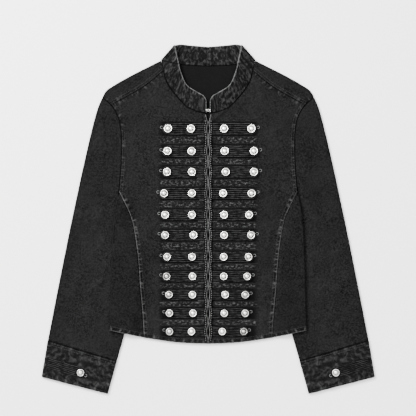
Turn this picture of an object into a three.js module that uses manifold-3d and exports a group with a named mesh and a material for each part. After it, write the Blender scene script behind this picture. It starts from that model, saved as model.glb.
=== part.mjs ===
// A cropped denim jacket with a stand collar and corded frogging, laid flat on its back.
// Millimetres. +X is the wearer's left, +Y runs from the hem to the collar, +Z is up.
// The surface that it lies on is z = 0, and the origin is under the middle of the jacket.
import * as THREE from "three";
import { mergeVertices } from "three/addons/utils/BufferGeometryUtils.js";
import Module from "manifold-3d";

const wasm = await Module();
wasm.setup();

// Thickness of the cloth, and the height from one layer's middle to the other's.
const DENIM = 1.6;
const COLLAR_CLOTH = 2.6;
const CUFF_CLOTH = 2.4;
const BODY_LOFT = 5;
const SLEEVE_LOFT = 5.5;
const CUFF_LOFT = 5;

// Gaps between neighbours at a seam and between things that lie on each other, and the welding distance.
const SEAM_GAP = 0.36;
const LAY_GAP = 0.3;
const WELD = 0.01;

// Soft slanting troughs in a sleeve's upper layer: how many lie side by side, and how far each one shifts
// along the sleeve from one ring to the next.
const SLEEVE_TROUGHS = { depth: 1.2, across: 2, drift: 0.3 };

// The sides of the body lie on the sleeves, which lifts them this far off the surface.
const SIDE_LIFT = 7.9;
const LIFT_RAMP = { from: 38, to: 9, bottom: 20, top: 75 };

// Outlines of the wearer's left half, seen from above. The right half mirrors them.
const SHOULDER_LINE = [[214, 247], [208, 262], [192, 274], [156, 294.3], [119, 313], [97, 324]];
const ARMHOLE = [[214, 247], [199, 233.5], [189, 219], [182, 202], [178.5, 178], [177.5, 150], [178.5, 112],
  [181, 78], [183.5, 48]];
const YOKE_SEAM = [[91.5, 304], [131, 272], [165, 252], [199, 233.5]];
const COLLAR_SEAM = [[5.5, 216], [24, 220.5], [44, 230], [60, 246], [75, 264], [86, 283], [91.5, 304]];
const BACK_NECKLINE = [[0, 313.5], [56, 316.5], [101, 317]];
const PRINCESS_SEAM = [[131.5, -243.7], [134, -200], [138.5, -150], [143, -90], [149, -40], [158, 3],
  [182.4, 56]];
const SIDE_EDGE = [[201, -228.2], [199, -150], [195.5, -64], [190, -9], [186.6, 22], [182.2, 48]];
const HEM_FRONT = [[0.15, -256], [35, -255.2], [70, -252.6], [131.5, -243.7]];
const SLEEVE_OUTER = [[214, 247], [224, 230], [233.5, 201], [250, 133], [271.5, 35], [292, -64],
  [311.5, -162], [328.5, -250]];
const SLEEVE_INNER = [[184.9, 48], [189.4, 28], [192, 6], [188.5, -14], [177, -42], [163, -85], [157, -125],
  [160, -180], [172, -234], [188.3, -292]];
const CUFF_OUTER = [[328.5, -250], [341, -324.3]];
const CUFF_INNER = [[188.3, -292], [207, -358.8]];
const NECK_SLIT = { bottom: 200, top: 216, halfWidth: 5.5 };

// Where other seams meet the armhole: as shares of its length from the shoulder, and as its sample numbers.
const ARMHOLE_SHARES = { yoke: 0.1, backYoke: 0.33, princess: 0.967 };
const [YOKE_AT, BACK_YOKE_AT, PRINCESS_AT] = [2, 4, 10];
const PRINCESS_STEPS = 11;

// The stand collar: its free edge at the front and the back, and the fold at each side of the neck.
const COLLAR_FREE_EDGE = [[4, 244], [9, 252], [23, 260.4], [43.5, 274.7], [55.8, 301.4], [62, 326],
  [68.5, 356.5]];
const COLLAR_SEAM_AROUND = [[3, 217], [24, 221], [44, 230.5], [59.7, 246.5], [74.5, 264.5], [85.3, 283.5],
  [90.5, 304], [94.8, 325.5]];
const COLLAR_BACK_EDGE = [[68.5, 356.5], [57, 358.2], [38, 356.4], [0, 353.2]];
const COLLAR_BACK_SEAM = [[94.8, 325.5], [56, 317.4], [0, 313.9]];
const COLLAR_SLOPE = 0.11;
const COLLAR_RISE = 0.5;

// Frogging rows, from the collar to the hem: the height of each row, and how far the two buttons on the
// wearer's right and left are from the front edge.
const ROWS = [
  { y: 184.5, rightOuter: 82, rightInner: 35, leftInner: 33, leftOuter: 89 },
  { y: 138.5, rightOuter: 83, rightInner: 34, leftInner: 34, leftOuter: 94 },
  { y: 96, rightOuter: 84, rightInner: 33, leftInner: 36, leftOuter: 94 },
  { y: 52, rightOuter: 90, rightInner: 33, leftInner: 31, leftOuter: 89 },
  { y: 8, rightOuter: 88, rightInner: 33, leftInner: 33, leftOuter: 84 },
  { y: -33.5, rightOuter: 88, rightInner: 30, leftInner: 33, leftOuter: 88 },
  { y: -78, rightOuter: 84, rightInner: 33, leftInner: 32, leftOuter: 83 },
  { y: -118, rightOuter: 85, rightInner: 32, leftInner: 32, leftOuter: 80 },
  { y: -155.5, rightOuter: 80, rightInner: 32, leftInner: 35, leftOuter: 76 },
  { y: -193.5, rightOuter: 79, rightInner: 31, leftInner: 33, leftOuter: 76 },
  { y: -231, rightOuter: 79, rightInner: 34, leftInner: 29, leftOuter: 73 },
];
const STRAP = { start: 0.8, firstHalf: 12.6, lastHalf: 10.4, base: 1, ridge: 0.9, edgeDrop: 0.4 };
const [STRAP_BRAIDS, STRAP_TURNS] = [3, 8];
const TIP_LOOP = { outer: 4, inner: 1.8, height: 1.4, reach: 2.4, sides: 8 };
const EDGE_BAND = { inner: 0.5, outer: 7.5, height: 0.9, belowCollar: 2, aboveHem: 1 };
const BUTTON = { firstRadius: 9.3, lastRadius: 7.9, rim: 1.3, dome: 6, taper: 0.08, sides: 9 };
const CUFF_STRAP = { from: [330.5, -294.5], button: [261.5, -315], half: 10.8, sunk: 0.4 };
const HOOK = { y: 222.5, halfLength: 5.2, halfWidth: 1.7, wire: 1, height: 1.1, aboveFront: 2 };

// Each mesh's colour, roughness and metalness.
const BLACK_DENIM = { color: 0x2e2e31, roughness: 0.9, metalness: 0 };
const BRAID = { color: 0x1b1b1d, roughness: 0.75, metalness: 0 };
const SILVER = { color: 0xd0cdc8, roughness: 0.3, metalness: 1 };

// Curves and smooth steps

const lerp = THREE.MathUtils.lerp;
const range = (count) => Array.from({ length: count }, (_, i) => i);
const at = (p, z) => new THREE.Vector3(p.x, p.y, z);

// A smooth curve through the points, and its evenly spaced samples.
function curve(points) {
  const flat = points.map(([x, y]) => new THREE.Vector3(x, y, 0));
  return new THREE.CatmullRomCurve3(flat, false, "centripetal");
}

function samples(points, intervals) {
  return curve(points).getSpacedPoints(intervals);
}

// Samples between two places along a curve, which are given as shares of its length.
function stretch(points, from, to, intervals) {
  const c = curve(points);
  return range(intervals + 1).map((i) => c.getPointAt(lerp(from, to, i / intervals)));
}

// The x of a curve that rises steadily in y, at a given y.
function xAt(points, y) {
  const rising = [...points].sort((a, b) => a[1] - b[1]);
  const k = rising.findIndex((p) => p[1] > y);
  if (k === 0) return rising[0][0];
  if (k < 0) return rising.at(-1)[0];
  const [low, high] = [rising[k - 1], rising[k]];
  return lerp(low[0], high[0], (y - low[1]) / (high[1] - low[1]));
}

// Heights of the middle of each layer

// How far the body is lifted by the sleeve under its side.
function lift(x, y) {
  const inner = xAt(SLEEVE_INNER, y);
  const across = THREE.MathUtils.smoothstep(Math.abs(x), inner - LIFT_RAMP.from, inner - LIFT_RAMP.to);
  const along = 1 - THREE.MathUtils.smoothstep(y, LIFT_RAMP.bottom, LIFT_RAMP.top);
  return SIDE_LIFT * across * along;
}

const backHeight = (x, y) => DENIM / 2 + lift(x, y);
const frontHeight = (x, y) => backHeight(x, y) + BODY_LOFT;
const frontTop = (x, y) => frontHeight(x, y) + DENIM / 2;

// Cloth solids

// The plan of a panel between four edges, each an array of points: rows run from the inner edge to the
// outer edge, and the first row is the bottom edge.
function panelPlan(bottom, top, inner, outer) {
  const [across, along] = [bottom.length - 1, inner.length - 1];
  return range(along + 1).map((j) =>
    range(across + 1).map((i) => {
      const [u, v] = [i / across, j / along];
      const p = new THREE.Vector3();
      p.addScaledVector(bottom[i], 1 - v).addScaledVector(top[i], v);
      p.addScaledVector(inner[j], 1 - u).addScaledVector(outer[j], u);
      p.addScaledVector(bottom[0], -(1 - u) * (1 - v)).addScaledVector(bottom[across], -u * (1 - v));
      return p.addScaledVector(top[0], -(1 - u) * v).addScaledVector(top[across], -u * v);
    }),
  );
}

// Pulls the rim of a grid in by half a seam gap, at right angles to the rim, so that neighbours stay apart.
function insetRim(grid, closedRows) {
  const [rows, columns] = [grid.length, grid[0].length];
  const wrap = (i) => (closedRows ? (i + columns) % columns : THREE.MathUtils.clamp(i, 0, columns - 1));
  const row = (j) => THREE.MathUtils.clamp(j, 0, rows - 1);
  const pull = (p, inwards, before, after) => {
    const rim = after.clone().sub(before).normalize();
    const across = inwards.clone().sub(p);
    return across.addScaledVector(rim, -across.dot(rim)).setZ(0).setLength(SEAM_GAP / 2);
  };
  return grid.map((line, j) =>
    line.map((p, i) => {
      const moved = p.clone();
      if (row(j - 1) === j) moved.add(pull(p, grid[j + 1][i], line[wrap(i - 1)], line[wrap(i + 1)]));
      if (row(j + 1) === j) moved.add(pull(p, grid[j - 1][i], line[wrap(i - 1)], line[wrap(i + 1)]));
      if (wrap(i - 1) === i) moved.add(pull(p, line[i + 1], grid[row(j - 1)][i], grid[row(j + 1)][i]));
      if (wrap(i + 1) === i) moved.add(pull(p, line[i - 1], grid[row(j - 1)][i], grid[row(j + 1)][i]));
      return moved;
    }),
  );
}

// A wall of cloth of the given thickness about a grid of middle points. Closed rows make a tube.
function cloth(middle, thickness, closedRows = false) {
  const grid = insetRim(middle, closedRows);
  const [rows, columns] = [grid.length, grid[0].length];
  const column = (i) => (closedRows ? (i + columns) % columns : THREE.MathUtils.clamp(i, 0, columns - 1));
  const normal = (j, i) => {
    const along = grid[Math.min(j + 1, rows - 1)][i].clone().sub(grid[Math.max(j - 1, 0)][i]);
    const across = grid[j][column(i + 1)].clone().sub(grid[j][column(i - 1)]);
    return across.cross(along).normalize();
  };
  const positions = [];
  for (const side of [1, -1])
    grid.forEach((row, j) =>
      row.forEach((p, i) => {
        positions.push(...p.clone().addScaledVector(normal(j, i), (side * thickness) / 2));
      }),
    );
  const id = (side, j, i) => side * rows * columns + j * columns + column(i);
  const index = [];
  const quad = (a, b, c, d) => index.push(a, b, c, a, c, d);
  const spans = closedRows ? columns : columns - 1;
  for (const j of range(rows - 1))
    for (const i of range(spans)) {
      quad(id(0, j, i), id(0, j, i + 1), id(0, j + 1, i + 1), id(0, j + 1, i));
      quad(id(1, j, i), id(1, j + 1, i), id(1, j + 1, i + 1), id(1, j, i + 1));
    }
  for (const i of range(spans)) {
    quad(id(0, 0, i), id(1, 0, i), id(1, 0, i + 1), id(0, 0, i + 1));
    quad(id(0, rows - 1, i + 1), id(1, rows - 1, i + 1), id(1, rows - 1, i), id(0, rows - 1, i));
  }
  if (!closedRows)
    for (const j of range(rows - 1)) {
      quad(id(0, j + 1, 0), id(1, j + 1, 0), id(1, j, 0), id(0, j, 0));
      const last = columns - 1;
      quad(id(0, j, last), id(1, j, last), id(1, j + 1, last), id(0, j + 1, last));
    }
  return facingOut(indexed(positions, index));
}

function indexed(positions, index) {
  const geometry = new THREE.BufferGeometry();
  geometry.setAttribute("position", new THREE.Float32BufferAttribute(positions, 3));
  geometry.setIndex(index);
  return geometry;
}

// Turns a closed geometry's faces outwards, by the sign of its volume.
function facingOut(geometry) {
  const [p, index] = [geometry.attributes.position, geometry.index];
  const corner = (k) => new THREE.Vector3().fromBufferAttribute(p, index.getX(k));
  let volume = 0;
  for (let k = 0; k < index.count; k += 3) volume += corner(k).dot(corner(k + 1).cross(corner(k + 2)));
  if (volume > 0) return geometry;
  for (let k = 0; k < index.count; k += 3) {
    const [first, second] = [index.getX(k), index.getX(k + 1)];
    index.setX(k, second);
    index.setX(k + 1, first);
  }
  return geometry;
}

// Points of the rounded fold from an upper layer to a lower one. The fold's outermost point lies over edge.
function foldArc(before, edge, upper, lower, steps = 4) {
  const radius = (upper - lower) / 2;
  const out = edge.clone().sub(before).setZ(0).normalize();
  return range(steps + 1).map((k) => {
    const turn = Math.PI / 2 - (Math.PI * k) / steps;
    const p = edge.clone().addScaledVector(out, radius * (Math.cos(turn) - 1));
    return at(p, (upper + lower) / 2 + radius * Math.sin(turn));
  });
}

// A panel that wraps round an edge: rows run from the seam on the front, round the fold, to the back seam.
function wrapped(frontPlan, backPlan) {
  return frontPlan.map((front, j) => {
    const edge = front.at(-1);
    const upper = front.slice(0, -1).map((p) => at(p, frontHeight(p.x, p.y)));
    const lower = backPlan[j].slice(1).map((p) => at(p, backHeight(p.x, p.y)));
    const arc = foldArc(front.at(-2), edge, frontHeight(edge.x, edge.y), backHeight(edge.x, edge.y));
    return [...upper, ...arc, ...lower];
  });
}

// A ring round a flat tube, from its outer edge across the top to the inner edge and back underneath.
function ring(plan, upper, lower) {
  const n = plan.length - 1;
  const inner = range(n - 1).map((k) => k + 1);
  const top = inner.map((k) => at(plan[k], upper[k]));
  const bottom = inner.map((k) => at(plan[k], lower[k])).reverse();
  const turnIn = foldArc(plan[n - 1], plan[n], upper[n], lower[n]);
  const turnOut = foldArc(plan[1], plan[0], upper[0], lower[0]).reverse();
  return [...top, ...turnIn, ...bottom, ...turnOut];
}

// Panels

// The armhole's samples from the shoulder to the underarm, shared by each piece that is sewn to it.
const armhole = [
  ...stretch(ARMHOLE, 0, ARMHOLE_SHARES.yoke, 2),
  ...stretch(ARMHOLE, ARMHOLE_SHARES.yoke, ARMHOLE_SHARES.backYoke, 2).slice(1),
  ...stretch(ARMHOLE, ARMHOLE_SHARES.backYoke, ARMHOLE_SHARES.princess, 6).slice(1),
  ...stretch(ARMHOLE, ARMHOLE_SHARES.princess, 1, 1).slice(1),
];
PRINCESS_SEAM[PRINCESS_SEAM.length - 1] = [armhole[PRINCESS_AT].x, armhole[PRINCESS_AT].y];
YOKE_SEAM[YOKE_SEAM.length - 1] = [armhole[YOKE_AT].x, armhole[YOKE_AT].y];
const princess = samples(PRINCESS_SEAM, PRINCESS_STEPS);

// One front, from the centre edge to the princess seam and the armhole, and up to the yoke.
function front() {
  const steps = { neck: 6, edge: 12, across: 7 };
  const [x, bottom] = HEM_FRONT[0];
  const edge = samples([[x, bottom], [x, NECK_SLIT.bottom]], steps.edge);
  const neck = samples(COLLAR_SEAM, steps.neck);
  const inner = [...edge, ...neck];
  const outer = [...princess, ...armhole.slice(YOKE_AT, PRINCESS_AT).reverse()];
  const plan = panelPlan(samples(HEM_FRONT, steps.across), samples(YOKE_SEAM, steps.across), inner, outer);
  return cloth(plan.map((row) => row.map((p) => at(p, frontHeight(p.x, p.y)))), DENIM);
}

// One side panel, from the princess seam round the side of the body to its seam on the back.
function side() {
  const edge = samples(SIDE_EDGE, PRINCESS_STEPS);
  const across = 3;
  const plan = princess.map((p, j) => range(across + 1).map((i) => p.clone().lerp(edge[j], i / across)));
  return cloth(wrapped(plan, plan.map((row) => [...row].reverse())), DENIM);
}

// The back, between the seams of the two side panels, the armholes and the yoke.
function back() {
  const half = [...princess, ...armhole.slice(BACK_YOKE_AT, PRINCESS_AT).reverse()];
  const across = 10;
  const rows = half.map((p, j) =>
    range(across + 1).map((i) => {
      const share = (2 * i) / across - 1;
      const bow = j === 0 ? (HEM_FRONT[0][1] - p.y) * (1 - share * share) : 0;
      const [x, y] = [p.x * share, p.y + bow];
      return new THREE.Vector3(x, y, backHeight(x, y));
    }),
  );
  return cloth(rows, DENIM);
}

// The one-piece yoke: it covers the top of the back and comes over each shoulder to the front.
function yoke() {
  const steps = 7;
  const neck = SHOULDER_LINE.at(-1);
  const [, backSeam] = armhole[BACK_YOKE_AT].toArray();
  const shoulder = samples(SHOULDER_LINE, steps);
  const frontNeck = samples([YOKE_SEAM[0], neck], YOKE_AT);
  const frontPlan = panelPlan(
    samples([...YOKE_SEAM].reverse(), steps),
    shoulder,
    armhole.slice(0, YOKE_AT + 1).reverse(),
    frontNeck,
  );
  const backPlan = panelPlan(
    shoulder,
    samples([[armhole[BACK_YOKE_AT].x, backSeam], [neck[0], backSeam]], steps),
    armhole.slice(0, BACK_YOKE_AT + 1),
    samples([neck, [neck[0], backSeam]], BACK_YOKE_AT),
  );
  const turned = (plan) => plan[0].map((_, i) => plan.map((row) => row[i]));
  const shoulderPiece = cloth(wrapped(turned(frontPlan), turned(backPlan)), DENIM);
  const halfNeck = BACK_NECKLINE.at(-1)[0];
  const top = samples([...BACK_NECKLINE.map(([x, y]) => [-x, y]).reverse(), ...BACK_NECKLINE.slice(1)], 8);
  const bottom = top.map((p, i) => new THREE.Vector3(lerp(-halfNeck, halfNeck, i / 8), backSeam, 0));
  const centre = [bottom, top].map((row) => row.map((p) => at(p, DENIM / 2)));
  return joined([shoulderPiece, mirrored(shoulderPiece), cloth(centre, DENIM)].map(toSolid));
}

// One sleeve: a flat tube from the armhole to the cuff. Its inner half runs under the side of the body.
function sleeve() {
  const steps = 12;
  const settle = 0.17;
  const firstRing = 0.3;
  const cuffEnd = [SLEEVE_OUTER.at(-1), SLEEVE_INNER.at(-1)];
  const length = curve(ARMHOLE).getLength();
  let walked = 0;
  const cuffSeam = armhole.map((p, k) => {
    walked += k ? p.distanceTo(armhole[k - 1]) : 0;
    return curve(cuffEnd).getPointAt(Math.min(1, walked / length));
  });
  cuffSeam[cuffSeam.length - 1] = new THREE.Vector3(...cuffEnd[1], 0);
  // Near the underarm the sleeve's edge leaves the armhole's line, so that it clears the side panel.
  const spread = { most: SLEEVE_INNER[0][0] - ARMHOLE.at(-1)[0], from: 6, to: armhole.length - 1, power: 4 };
  const sewnEdge = armhole.map((p, k) => {
    const share = Math.max(0, (k - spread.from) / (spread.to - spread.from));
    return p.clone().setX(p.x + spread.most * share ** spread.power);
  });
  const plan = panelPlan(sewnEdge, cuffSeam, samples(SLEEVE_OUTER, steps), samples(SLEEVE_INNER, steps));
  const trough = (share, stop) => {
    const phase = 2 * Math.PI * (SLEEVE_TROUGHS.across * share + SLEEVE_TROUGHS.drift * stop);
    const fade = Math.sqrt(Math.sin((Math.PI * stop) / steps));
    return SLEEVE_TROUGHS.depth * fade * (0.5 - 0.5 * Math.cos(phase));
  };
  const stops = [0, firstRing, ...range(steps).map((j) => j + 1)];
  const rings = stops.map((stop) => {
    const [near, far] = [plan[Math.floor(stop)], plan[Math.ceil(stop)]];
    const row = near.map((p, k) => p.clone().lerp(far[k], stop % 1));
    const settled = THREE.MathUtils.smoothstep(stop / steps, firstRing / steps, settle);
    const upper = row.map((p, k) => {
      const sewn = frontHeight(armhole[k].x, armhole[k].y);
      return lerp(sewn, DENIM / 2 + SLEEVE_LOFT - trough(k / (row.length - 1), stop), settled);
    });
    const lower = row.map((p, k) => lerp(backHeight(armhole[k].x, armhole[k].y), DENIM / 2, settled));
    return ring(row, upper, lower);
  });
  return cloth(rings, DENIM, true);
}

// One cuff: a double band, with its corded strap raised on the top.
function cuff() {
  const [steps, across] = [3, 10];
  const [outer, inner] = [samples(CUFF_OUTER, steps), samples(CUFF_INNER, steps)];
  const rings = outer.map((p, j) => {
    const row = range(across + 1).map((k) => p.clone().lerp(inner[j], k / across));
    const low = row.map(() => CUFF_CLOTH / 2);
    return ring(row, low.map((z) => z + CUFF_LOFT), low);
  });
  const [from, button] = [CUFF_STRAP.from, CUFF_STRAP.button].map((p) => new THREE.Vector3(...p, 0));
  const strapLength = from.distanceTo(button);
  const slope = THREE.MathUtils.radToDeg(Math.atan2(button.y - from.y, button.x - from.x));
  const raised = strap(strapLength, CUFF_STRAP.half, CUFF_CLOTH + CUFF_LOFT - CUFF_STRAP.sunk)
    .rotate([0, 0, slope])
    .translate(from.x, from.y, 0);
  return joined([toSolid(cloth(rings, CUFF_CLOTH, true)), raised]);
}

// The stand collar: one band from the front edge, round the fold at the side of the neck, to the back.
function collar() {
  const steps = { front: 10, fold: 4, back: 4, across: 3 };
  const seam = samples(COLLAR_SEAM_AROUND, steps.front);
  const edge = samples(COLLAR_FREE_EDGE, steps.front);
  const backSeam = samples(COLLAR_BACK_SEAM, steps.back);
  const backEdge = samples(COLLAR_BACK_EDGE, steps.back);
  const low = COLLAR_CLOTH / 2;
  const seamHeight = frontHeight(0, 0) + COLLAR_RISE;
  // At the side of the neck the fold's outward direction is diagonal.
  const outward = new THREE.Vector3(1, 1, 0).normalize();
  const rows = range(steps.across + 1).map((k) => {
    const share = k / steps.across;
    const upper = seam.map((p, j) => {
      const climb = COLLAR_SLOPE * share * p.distanceTo(edge[j]);
      return at(p.clone().lerp(edge[j], share), seamHeight + climb);
    });
    const lower = backSeam.map((p, j) => p.clone().lerp(backEdge[j], share));
    const fold = upper.at(-1);
    const arc = foldArc(fold.clone().sub(outward), fold, fold.z, low, steps.fold);
    return [...upper.slice(0, -1), ...arc, ...lower.slice(1).map((p) => at(p, low))];
  });
  const wholeBand = rows.map((row) => {
    const other = row.slice(0, -1).map((p) => new THREE.Vector3(-p.x, p.y, p.z));
    return [...row, ...other.reverse()];
  });
  return cloth(wholeBand, COLLAR_CLOTH);
}

// Trim

// A strap of three braids that run out side by side and turn back round its end. It starts at the origin,
// runs along +X to the middle of its rounded end, and stands on the height z.
function strap(length, half, z) {
  const points = 2 * STRAP_BRAIDS;
  const halfSection = range(points + 1).map((m) => {
    const rise = STRAP.base + (m % 2 ? STRAP.ridge : 0) - (m === points ? STRAP.edgeDrop : 0);
    return new THREE.Vector2((half * m) / points, rise);
  });
  const mirror = halfSection.slice(1).reverse().map((p) => new THREE.Vector2(-p.x, p.y));
  const section = new THREE.Shape([
    new THREE.Vector2(-half, 0),
    ...mirror,
    ...halfSection,
    new THREE.Vector2(half, 0),
  ]);
  const run = new THREE.ExtrudeGeometry(section, { depth: length, bevelEnabled: false });
  run.rotateX(Math.PI / 2).rotateZ(Math.PI / 2);
  const outline = [new THREE.Vector2(0, 0), new THREE.Vector2(half, 0), ...[...halfSection].reverse()];
  const turn = new THREE.LatheGeometry(outline, STRAP_TURNS).rotateX(Math.PI / 2);
  const end = toSolid(turn).trimByPlane([1, 0, 0], -WELD).translate(length, 0, 0);
  return toSolid(run).add(end).translate(0, 0, z);
}

// The small eyelet of cord at a strap's tip.
function tipLoop(length, half, z) {
  const centre = length + half + TIP_LOOP.reach;
  const disc = (radius) =>
    range(TIP_LOOP.sides).map((k) => {
      const turn = (2 * Math.PI * k) / TIP_LOOP.sides;
      return new THREE.Vector2(centre + radius * Math.cos(turn), radius * Math.sin(turn));
    });
  const shape = new THREE.Shape(disc(TIP_LOOP.outer));
  shape.holes.push(new THREE.Path(disc(TIP_LOOP.inner)));
  const flat = new THREE.ExtrudeGeometry(shape, { depth: TIP_LOOP.height, bevelEnabled: false });
  return toSolid(flat).translate(0, 0, z);
}

// A size that shrinks evenly from the first row to the last.
const rowSize = (first, last, row) => lerp(first, last, row / (ROWS.length - 1));

// One front's frogging: a narrow band down the front edge, and a strap sewn into it at each row.
function frogging(outerKey) {
  const z = frontTop(0, 0) + LAY_GAP;
  const [x, bottom] = HEM_FRONT[0];
  const line = [
    [x, bottom + EDGE_BAND.aboveHem],
    [x, NECK_SLIT.bottom],
    [NECK_SLIT.halfWidth, NECK_SLIT.top - EDGE_BAND.belowCollar],
  ];
  const bandMiddle = z + EDGE_BAND.height / 2;
  const grid = line.map(([edge, y]) =>
    [EDGE_BAND.inner, EDGE_BAND.outer].map((across) => new THREE.Vector3(edge + across, y, bandMiddle)),
  );
  const pieces = [toSolid(cloth(grid, EDGE_BAND.height))];
  ROWS.forEach((row, k) => {
    const half = rowSize(STRAP.firstHalf, STRAP.lastHalf, k);
    const length = row[outerKey] - STRAP.start;
    for (const piece of [strap(length, half, z), tipLoop(length, half, z)])
      pieces.push(piece.translate(STRAP.start, row.y, 0));
  });
  return joined(pieces);
}

// A domed metal button with a flat rim, on the height z.
function button(radius, x, y, z) {
  // A point of the dome, at a share of the way from its foot to its top.
  const dome = (share) => {
    const turn = (share * Math.PI) / 2;
    const out = radius * (1 - share * BUTTON.taper) * Math.cos(turn);
    return [out, lerp(BUTTON.rim, BUTTON.dome, Math.sin(turn))];
  };
  const profile = [[0, 0], [radius, 0], [radius, BUTTON.rim], dome(0.35), dome(0.7), [0, BUTTON.dome]];
  const turned = new THREE.LatheGeometry(profile.map(([r, h]) => new THREE.Vector2(r, h)), BUTTON.sides);
  return welded(turned).rotateX(Math.PI / 2).translate(x, y, z);
}

// The hook and eye that hold the collar shut, as one flat wire link across the slit.
function hook(z) {
  const track = (length, width) => {
    const shape = new THREE.Shape();
    shape.absarc(length - width, 0, width, -Math.PI / 2, Math.PI / 2, false);
    shape.absarc(width - length, 0, width, Math.PI / 2, (3 * Math.PI) / 2, false);
    return shape;
  };
  const outline = track(HOOK.halfLength, HOOK.halfWidth);
  outline.holes.push(track(HOOK.halfLength - HOOK.wire, HOOK.halfWidth - HOOK.wire));
  const settings = { depth: HOOK.height, bevelEnabled: false, curveSegments: 4 };
  return new THREE.ExtrudeGeometry(outline, settings).translate(0, HOOK.y, z);
}

// Joining and mirroring

// The geometry with its doubled points made one and its empty triangles dropped.
function welded(geometry) {
  const plain = geometry.clone();
  for (const name of ["normal", "uv"]) plain.deleteAttribute(name);
  const merged = mergeVertices(plain, 1e-4);
  const corners = [...merged.index.array];
  const triangles = range(corners.length / 3).map((k) => corners.slice(3 * k, 3 * k + 3));
  merged.setIndex(triangles.filter((t) => new Set(t).size === 3).flat());
  return facingOut(merged);
}

function toSolid(geometry) {
  const { attributes, index } = welded(geometry);
  const vertProperties = new Float32Array(attributes.position.array);
  const triVerts = new Uint32Array(index.array);
  return new wasm.Manifold(new wasm.Mesh({ numProp: 3, vertProperties, triVerts }));
}

function joined(solids) {
  const mesh = wasm.Manifold.union(solids).simplify(WELD).getMesh();
  return indexed([...mesh.vertProperties], [...mesh.triVerts]);
}

function mirrored(geometry) {
  return facingOut(geometry.clone().scale(-1, 1, 1));
}

// The jacket

const jacket = new THREE.Group();

function add(name, geometry, finish) {
  const mesh = new THREE.Mesh(geometry, new THREE.MeshStandardMaterial(finish));
  mesh.name = name;
  mesh.geometry.computeVertexNormals();
  jacket.add(mesh);
}

function addPair(name, geometry, finish) {
  add(name + "_left", geometry, finish);
  add(name + "_right", mirrored(geometry), finish);
}

add("back", back(), BLACK_DENIM);
add("yoke", yoke(), BLACK_DENIM);
addPair("front", front(), BLACK_DENIM);
addPair("side", side(), BLACK_DENIM);
addPair("sleeve", sleeve(), BLACK_DENIM);
addPair("cuff", cuff(), BLACK_DENIM);
add("collar", collar(), BLACK_DENIM);
add("frogging_left", frogging("leftOuter"), BRAID);
add("frogging_right", mirrored(frogging("rightOuter")), BRAID);

const STRAP_TOP = frontTop(0, 0) + LAY_GAP + STRAP.base + STRAP.ridge + LAY_GAP;
ROWS.forEach((row, k) => {
  const radius = rowSize(BUTTON.firstRadius, BUTTON.lastRadius, k);
  const number = String(k + 1).padStart(2, "0");
  const places = {
    left_inner: row.leftInner,
    left_outer: row.leftOuter,
    right_inner: -row.rightInner,
    right_outer: -row.rightOuter,
  };
  for (const [place, x] of Object.entries(places))
    add(`button_${place}_${number}`, button(radius, x, row.y, STRAP_TOP), SILVER);
});

const CUFF_STRAP_TOP = CUFF_CLOTH + CUFF_LOFT - CUFF_STRAP.sunk + STRAP.base + STRAP.ridge + LAY_GAP;
const [cuffX, cuffY] = CUFF_STRAP.button;
add("button_cuff_left", button(BUTTON.lastRadius, cuffX, cuffY, CUFF_STRAP_TOP), SILVER);
add("button_cuff_right", button(BUTTON.lastRadius, -cuffX, cuffY, CUFF_STRAP_TOP), SILVER);
add("hook_and_eye", hook(frontTop(0, 0) + HOOK.aboveFront), SILVER);

// The origin goes under the middle of the whole jacket.
const middle = new THREE.Box3().setFromObject(jacket).getCenter(new THREE.Vector3());
jacket.traverse((part) => part.geometry?.translate(-middle.x, -middle.y, 0));

export default jacket;
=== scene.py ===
import math
import random

import bmesh
import bpy
import numpy as np
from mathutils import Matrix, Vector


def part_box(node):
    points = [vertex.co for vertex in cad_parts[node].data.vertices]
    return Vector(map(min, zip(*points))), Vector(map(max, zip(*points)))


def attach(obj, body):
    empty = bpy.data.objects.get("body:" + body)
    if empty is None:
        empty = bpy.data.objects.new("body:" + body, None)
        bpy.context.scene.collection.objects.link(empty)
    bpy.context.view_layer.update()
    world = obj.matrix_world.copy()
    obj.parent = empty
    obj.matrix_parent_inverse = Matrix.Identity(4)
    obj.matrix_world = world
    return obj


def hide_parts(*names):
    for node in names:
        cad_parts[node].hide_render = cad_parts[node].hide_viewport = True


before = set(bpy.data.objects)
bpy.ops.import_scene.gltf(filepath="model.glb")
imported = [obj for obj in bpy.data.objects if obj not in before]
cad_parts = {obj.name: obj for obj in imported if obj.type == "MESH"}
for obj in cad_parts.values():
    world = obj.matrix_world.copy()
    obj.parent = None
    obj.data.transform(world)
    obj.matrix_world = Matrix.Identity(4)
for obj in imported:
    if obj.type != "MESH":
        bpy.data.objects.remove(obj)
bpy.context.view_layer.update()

# The studio: a pale floor, a soft light from above and to one side, and a camera straight above, as in
# the photograph. The photograph is 416 pixels wide, and a pixel of it is 2.05 mm on the jacket.
PHOTO_PIXELS, PIXEL_MM = 416, 2.05
PHOTO_WIDTH_M = PHOTO_PIXELS * PIXEL_MM * 0.001
PHOTO_CENTRE_M = (-0.0004, 0.0225)
CAMERA_HEIGHT_M = 3.0
FRONT_HEIGHT_M = 0.007
FLOOR_HALF_M = 4
SENSOR_MM = 36


def linear(hex_colour):
    """An sRGB hex colour as linear RGBA."""
    parts = [int(hex_colour[k : k + 2], 16) / 255 for k in (1, 3, 5)]
    return tuple(c / 12.92 if c <= 0.04045 else ((c + 0.055) / 1.055) ** 2.4 for c in parts) + (1.0,)


def add(tree, kind, inputs=(), **settings):
    """Adds a node with its settings. inputs pairs a socket's name or number with a value or a link."""
    made = tree.nodes.new(kind)
    for name, value in settings.items():
        setattr(made, name, value)
    for socket, value in dict(inputs).items():
        if isinstance(value, bpy.types.NodeSocket):
            tree.links.new(value, made.inputs[socket])
        else:
            made.inputs[socket].default_value = value
    return made


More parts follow.
